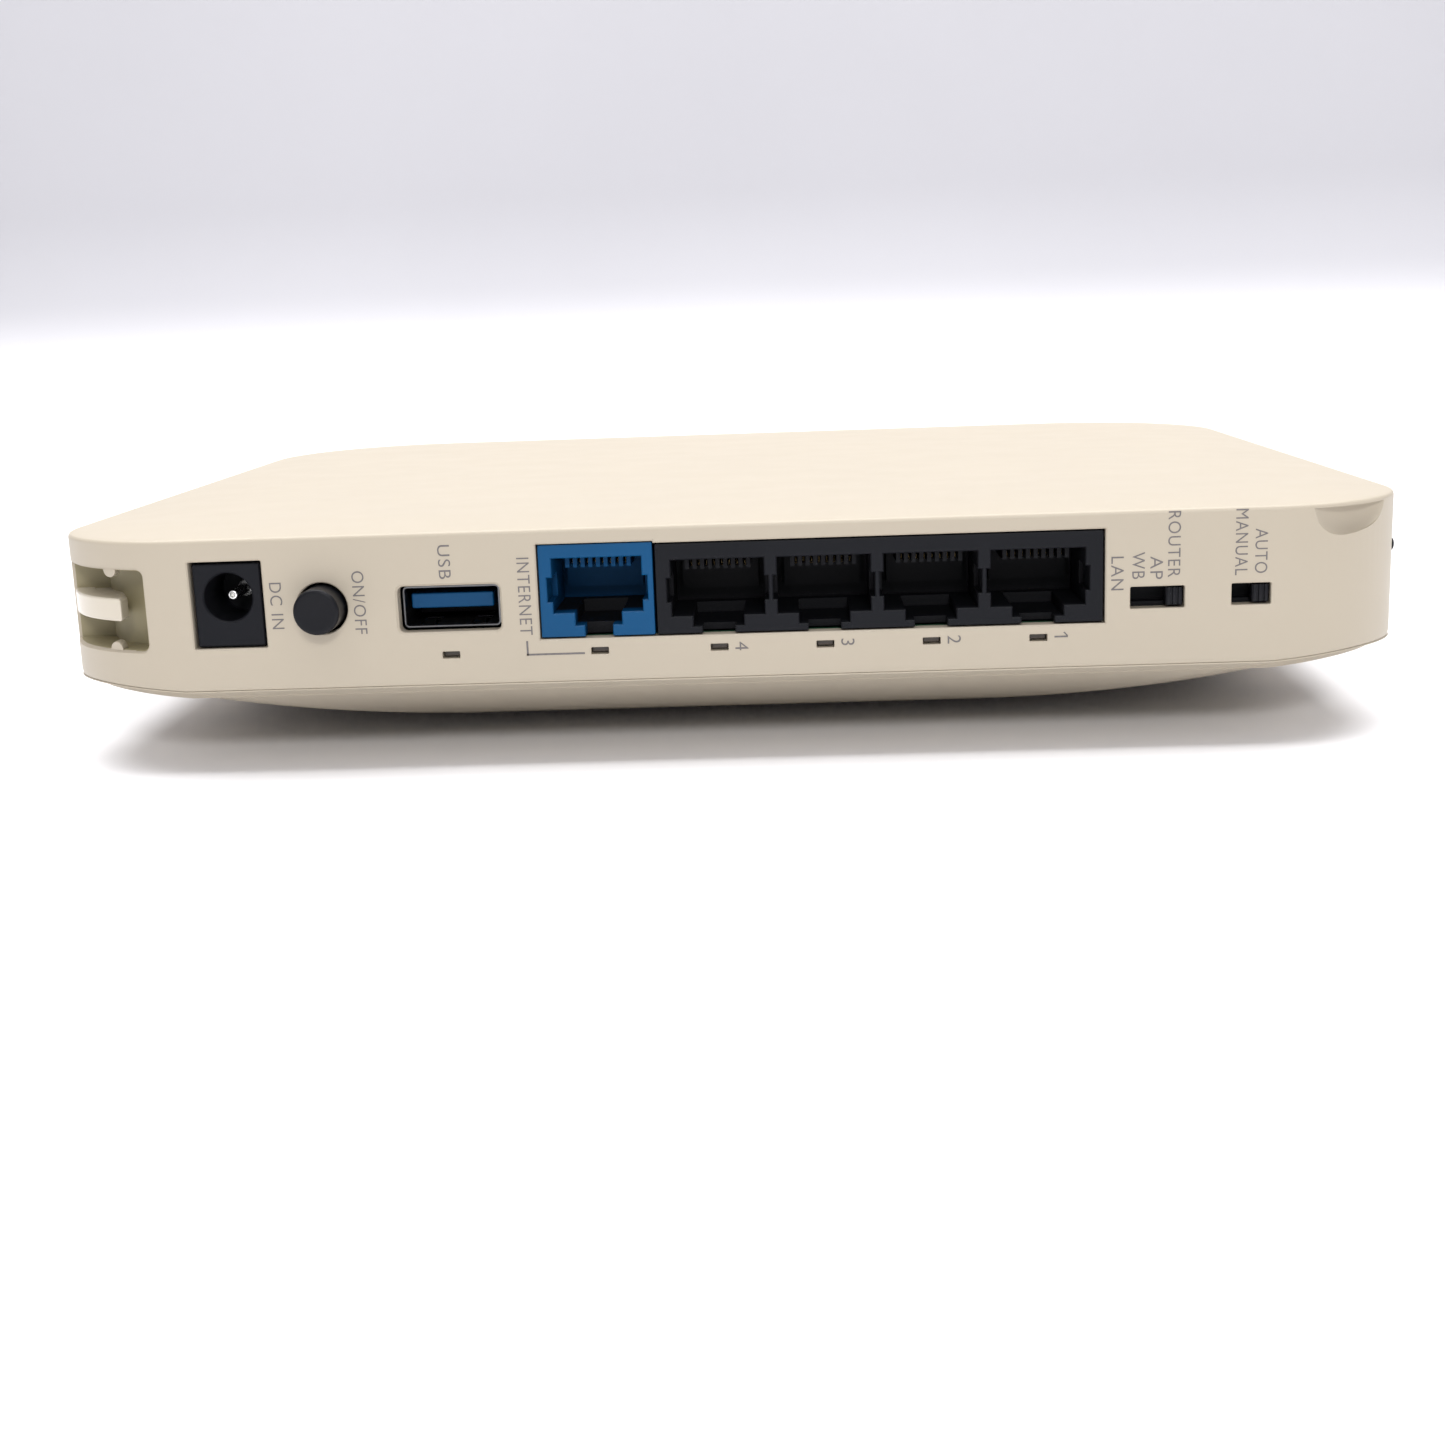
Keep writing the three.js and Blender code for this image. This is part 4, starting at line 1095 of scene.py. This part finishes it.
def port_labels():
    """The words, the port numbers and the line to the lamp of the single jack."""
    words = [
        ("DC IN", -58.95, 26.0, 19.8), ("ON/OFF", -47.9, 27.2, 18.8), ("USB", -36.3, 30.3, 25.8),
        ("INTERNET", INTERNET_X, 28.3, 18.0), ("LAN", 51.65, 26.0, 21.6), ("WB", 54.35, 26.5, 23.0),
        ("AP", 56.7, 25.9, 22.9), ("ROUTER", 58.95, 31.7, 23.1), ("MANUAL", 67.6, 31.7, 23.1),
        ("AUTO", 70.15, 29.1, 23.3),
    ]
    pieces = [label(*word) for word in words]
    for digit, centre in zip("4321", LAN_CENTRES):
        raised = 0.2 if digit == "1" else 0.65
        pieces.append(label(digit, centre + DIGIT_ASIDE, LAMP_Z + raised, cap=DIGIT_HEIGHT))
    front = REAR - INK_PROUD
    back = front + INK_THICK
    # The built-in letters have a plain 1, so its flag is added.
    head = LAN_CENTRES[-1] + DIGIT_ASIDE + DIGIT_HEIGHT / 2
    flag = [(head, LAMP_Z + 0.02), (head, LAMP_Z + 0.24),
            (head - 0.42, LAMP_Z + 0.72), (head - 0.6, LAMP_Z + 0.62)]
    pieces.append(extrude_y("flag", flag, [(front, 0), (back, 0)]))
    # The angled line from the word to its lamp.
    left = INTERNET_X - LINE_HALF
    low = LINE_Z - LINE_HALF
    pieces.append(block("line", left, front, low, INTERNET_X + LINE_HALF, back, 17.2))
    pieces.append(block("line", left, front, low, LINE_END, back, LINE_Z + LINE_HALF))
    return combine("port_labels", pieces)


add(port_labels(), INK)


# ---- Lamp windows ----

def lamp_windows(name, node, centres):
    """Smoked tips in the lamp slots, with the bar that joins them behind the wall."""
    box = Box(node)
    half_x = LAMP_WIDTH / 2 - 0.12
    half_z = LAMP_HEIGHT / 2 - 0.12
    tips = [block("tip", x - half_x, box.y0, LAMP_Z - half_z,
                  x + half_x, box.y1 - 0.2, LAMP_Z + half_z, 0.08, 2) for x in centres]
    bar = block("bar", box.x0, box.y1 - 0.45, box.z0, box.x1, box.y1, box.z1, 0.1, 1)
    add(combine(name, [bar, *tips]), LENS, replaces=[node])


lamp_windows("usb_lamp_window", "usb_light_guide", LAMP_CENTRES[:1])
lamp_windows("internet_lamp_window", "internet_light_guide", [WAN_CENTRE])
lamp_windows("lan_lamp_windows", "lan_light_guide", LAN_CENTRES)


# ---- Inner pieces keep their CAD shapes ----

PLAIN_NODES = {
    BOARD: ["main_board", "low_band_antenna", "high_band_antenna"],
    SCREW: [f"{kind}_screw_{n}" for kind in ("case", "board") for n in (1, 2, 3, 4)],
    # The switch bodies behind their windows take the darker black as painted shade.
    BLACK_IN_SHADE: ["power_switch_body", "mode_switch_body", "auto_switch_body", "setup_switch_body"],
    CHIP: ["processor_chip", "memory_chip", "network_chip", "low_band_radio_chip", "high_band_radio_chip",
           "wan_transformer", "lan_transformer_1", "lan_transformer_2"],
    STEEL: ["low_band_radio_shield", "high_band_radio_shield", "supply_capacitor_1", "supply_capacitor_2"],
    ALUMINIUM: ["heat_sink"],
    FERRITE: ["power_inductor"],
    PAD: ["thermal_pad"],
    JACKET: ["low_band_antenna_lead", "high_band_antenna_lead"],
    LENS: [f"status_lamp_{n}" for n in range(1, 7)],
}
for material, names in PLAIN_NODES.items():
    for name in names:
        paint(name, material)


# ---- Stage, light and camera ----

STAGE_HALF = 2500
STAGE_BEHIND = 520
STAGE_BEND = 110
STAGE_TOP = 1400

# The reference view's lens and place in millimetres, and its turns in degrees.
CAMERA_LENS = 47.71
CAMERA_PLACE = (9.25, -329.35, 61.23)
CAMERA_PITCH = 12.635
CAMERA_YAW = 2.236
CAMERA_ROLL = -2.087


def sweep():
    """A pale floor that curves up into a backdrop well behind the router."""
    made = Material("backdrop", 0.6)
    paper = made.ramp(made.noise(6, 3), [(0.3, (0.845, 0.84, 0.85)), (0.7, (0.865, 0.86, 0.87))])
    # The backdrop darkens from the floor upwards: the wall's grey is painted shade where less light reaches
    # it.
    shaded_wall = made.ramp(made.noise(4, 3), [(0.3, (0.40, 0.397, 0.42)), (0.7, (0.42, 0.417, 0.44))])
    split = made.nodes.new("ShaderNodeSeparateXYZ")
    made.links.new(made.coordinates, split.inputs["Vector"])
    height = made.nodes.new("ShaderNodeMapRange")
    height.interpolation_type = "SMOOTHSTEP"
    height.inputs["From Min"].default_value = 2 * MM
    height.inputs["From Max"].default_value = 70 * MM
    made.links.new(split.outputs["Z"], height.inputs["Value"])
    blend = made.nodes.new("ShaderNodeMixRGB")
    made.links.new(height.outputs["Result"], blend.inputs["Fac"])
    made.links.new(paper, blend.inputs["Color1"])
    made.links.new(shaded_wall, blend.inputs["Color2"])
    made.links.new(blend.outputs["Color"], made.shader.inputs["Base Color"])
    made.bump((made.noise(900, 2), 0.05, 0.2))
    profile = [(-STAGE_HALF, 0), (STAGE_BEHIND, 0)]
    for i in range(1, 25):
        turn = math.radians(90 * i / 24)
        profile.append((STAGE_BEHIND + STAGE_BEND * math.sin(turn), STAGE_BEND * (1 - math.cos(turn))))
    profile.append((STAGE_BEHIND + STAGE_BEND, STAGE_TOP))
    verts = [(x, y, z) for y, z in profile for x in (-STAGE_HALF, STAGE_HALF)]
    faces = [(2 * i, 2 * i + 1, 2 * i + 3, 2 * i + 2) for i in range(len(profile) - 1)]
    sheet = mesh_piece("backdrop", verts, faces)
    sheet.data.materials.append(made.material)
    sheet.data.shade_smooth()


def area_light(name, place, target, size, power):
    """A white panel lamp, with its place, its target and its size in metres."""
    light = bpy.data.lights.new(name, "AREA")
    light.shape = "RECTANGLE"
    light.size, light.size_y = size
    light.energy = power
    lamp = new_object(name, light)
    lamp.location = place
    aim = Vector(target) - Vector(place)
    lamp.rotation_euler = aim.to_track_quat("-Z", "Y").to_euler()


def studio():
    """A dim grey surround, a broad panel overhead and a small one in front."""
    world = bpy.data.worlds.new("studio")
    bpy.context.scene.world = world
    world.use_nodes = True
    sky = world.node_tree.nodes["Background"]
    sky.inputs["Color"].default_value = (0.62, 0.61, 0.64, 1)
    sky.inputs["Strength"].default_value = 0.9
    area_light("overhead", (0.0, 0.12, 1.0), (0, 0.1, 0), (1.4, 0.9), 21.5)
    area_light("front_key", (0.12, -1.15, 0.60), (0, -0.05, 0.0), (0.28, 0.16), 5.2)


def camera():
    """The lens and the place of the reference view: in front of the port side and a little above it."""
    pitch, yaw, roll = (math.radians(turn) for turn in (CAMERA_PITCH, CAMERA_YAW, CAMERA_ROLL))
    turn_x = Matrix.Rotation(pitch, 3, "X")
    turn_y = Matrix.Rotation(roll, 3, "Y")
    turn_z = Matrix.Rotation(-yaw, 3, "Z")
    right, forward, up = turn_y @ turn_x @ turn_z
    data = bpy.data.cameras.new("camera")
    data.sensor_width = 36
    data.lens = CAMERA_LENS
    data.clip_start = 0.01
    data.clip_end = 50
    view = new_object("camera", data)
    facing = Matrix((right, up, -forward)).transposed().to_4x4()
    view.matrix_world = Matrix.Translation(Vector(CAMERA_PLACE) * MM) @ facing
    bpy.context.scene.camera = view


sweep()
studio()
camera()
bpy.context.scene.view_settings.view_transform = "Standard"
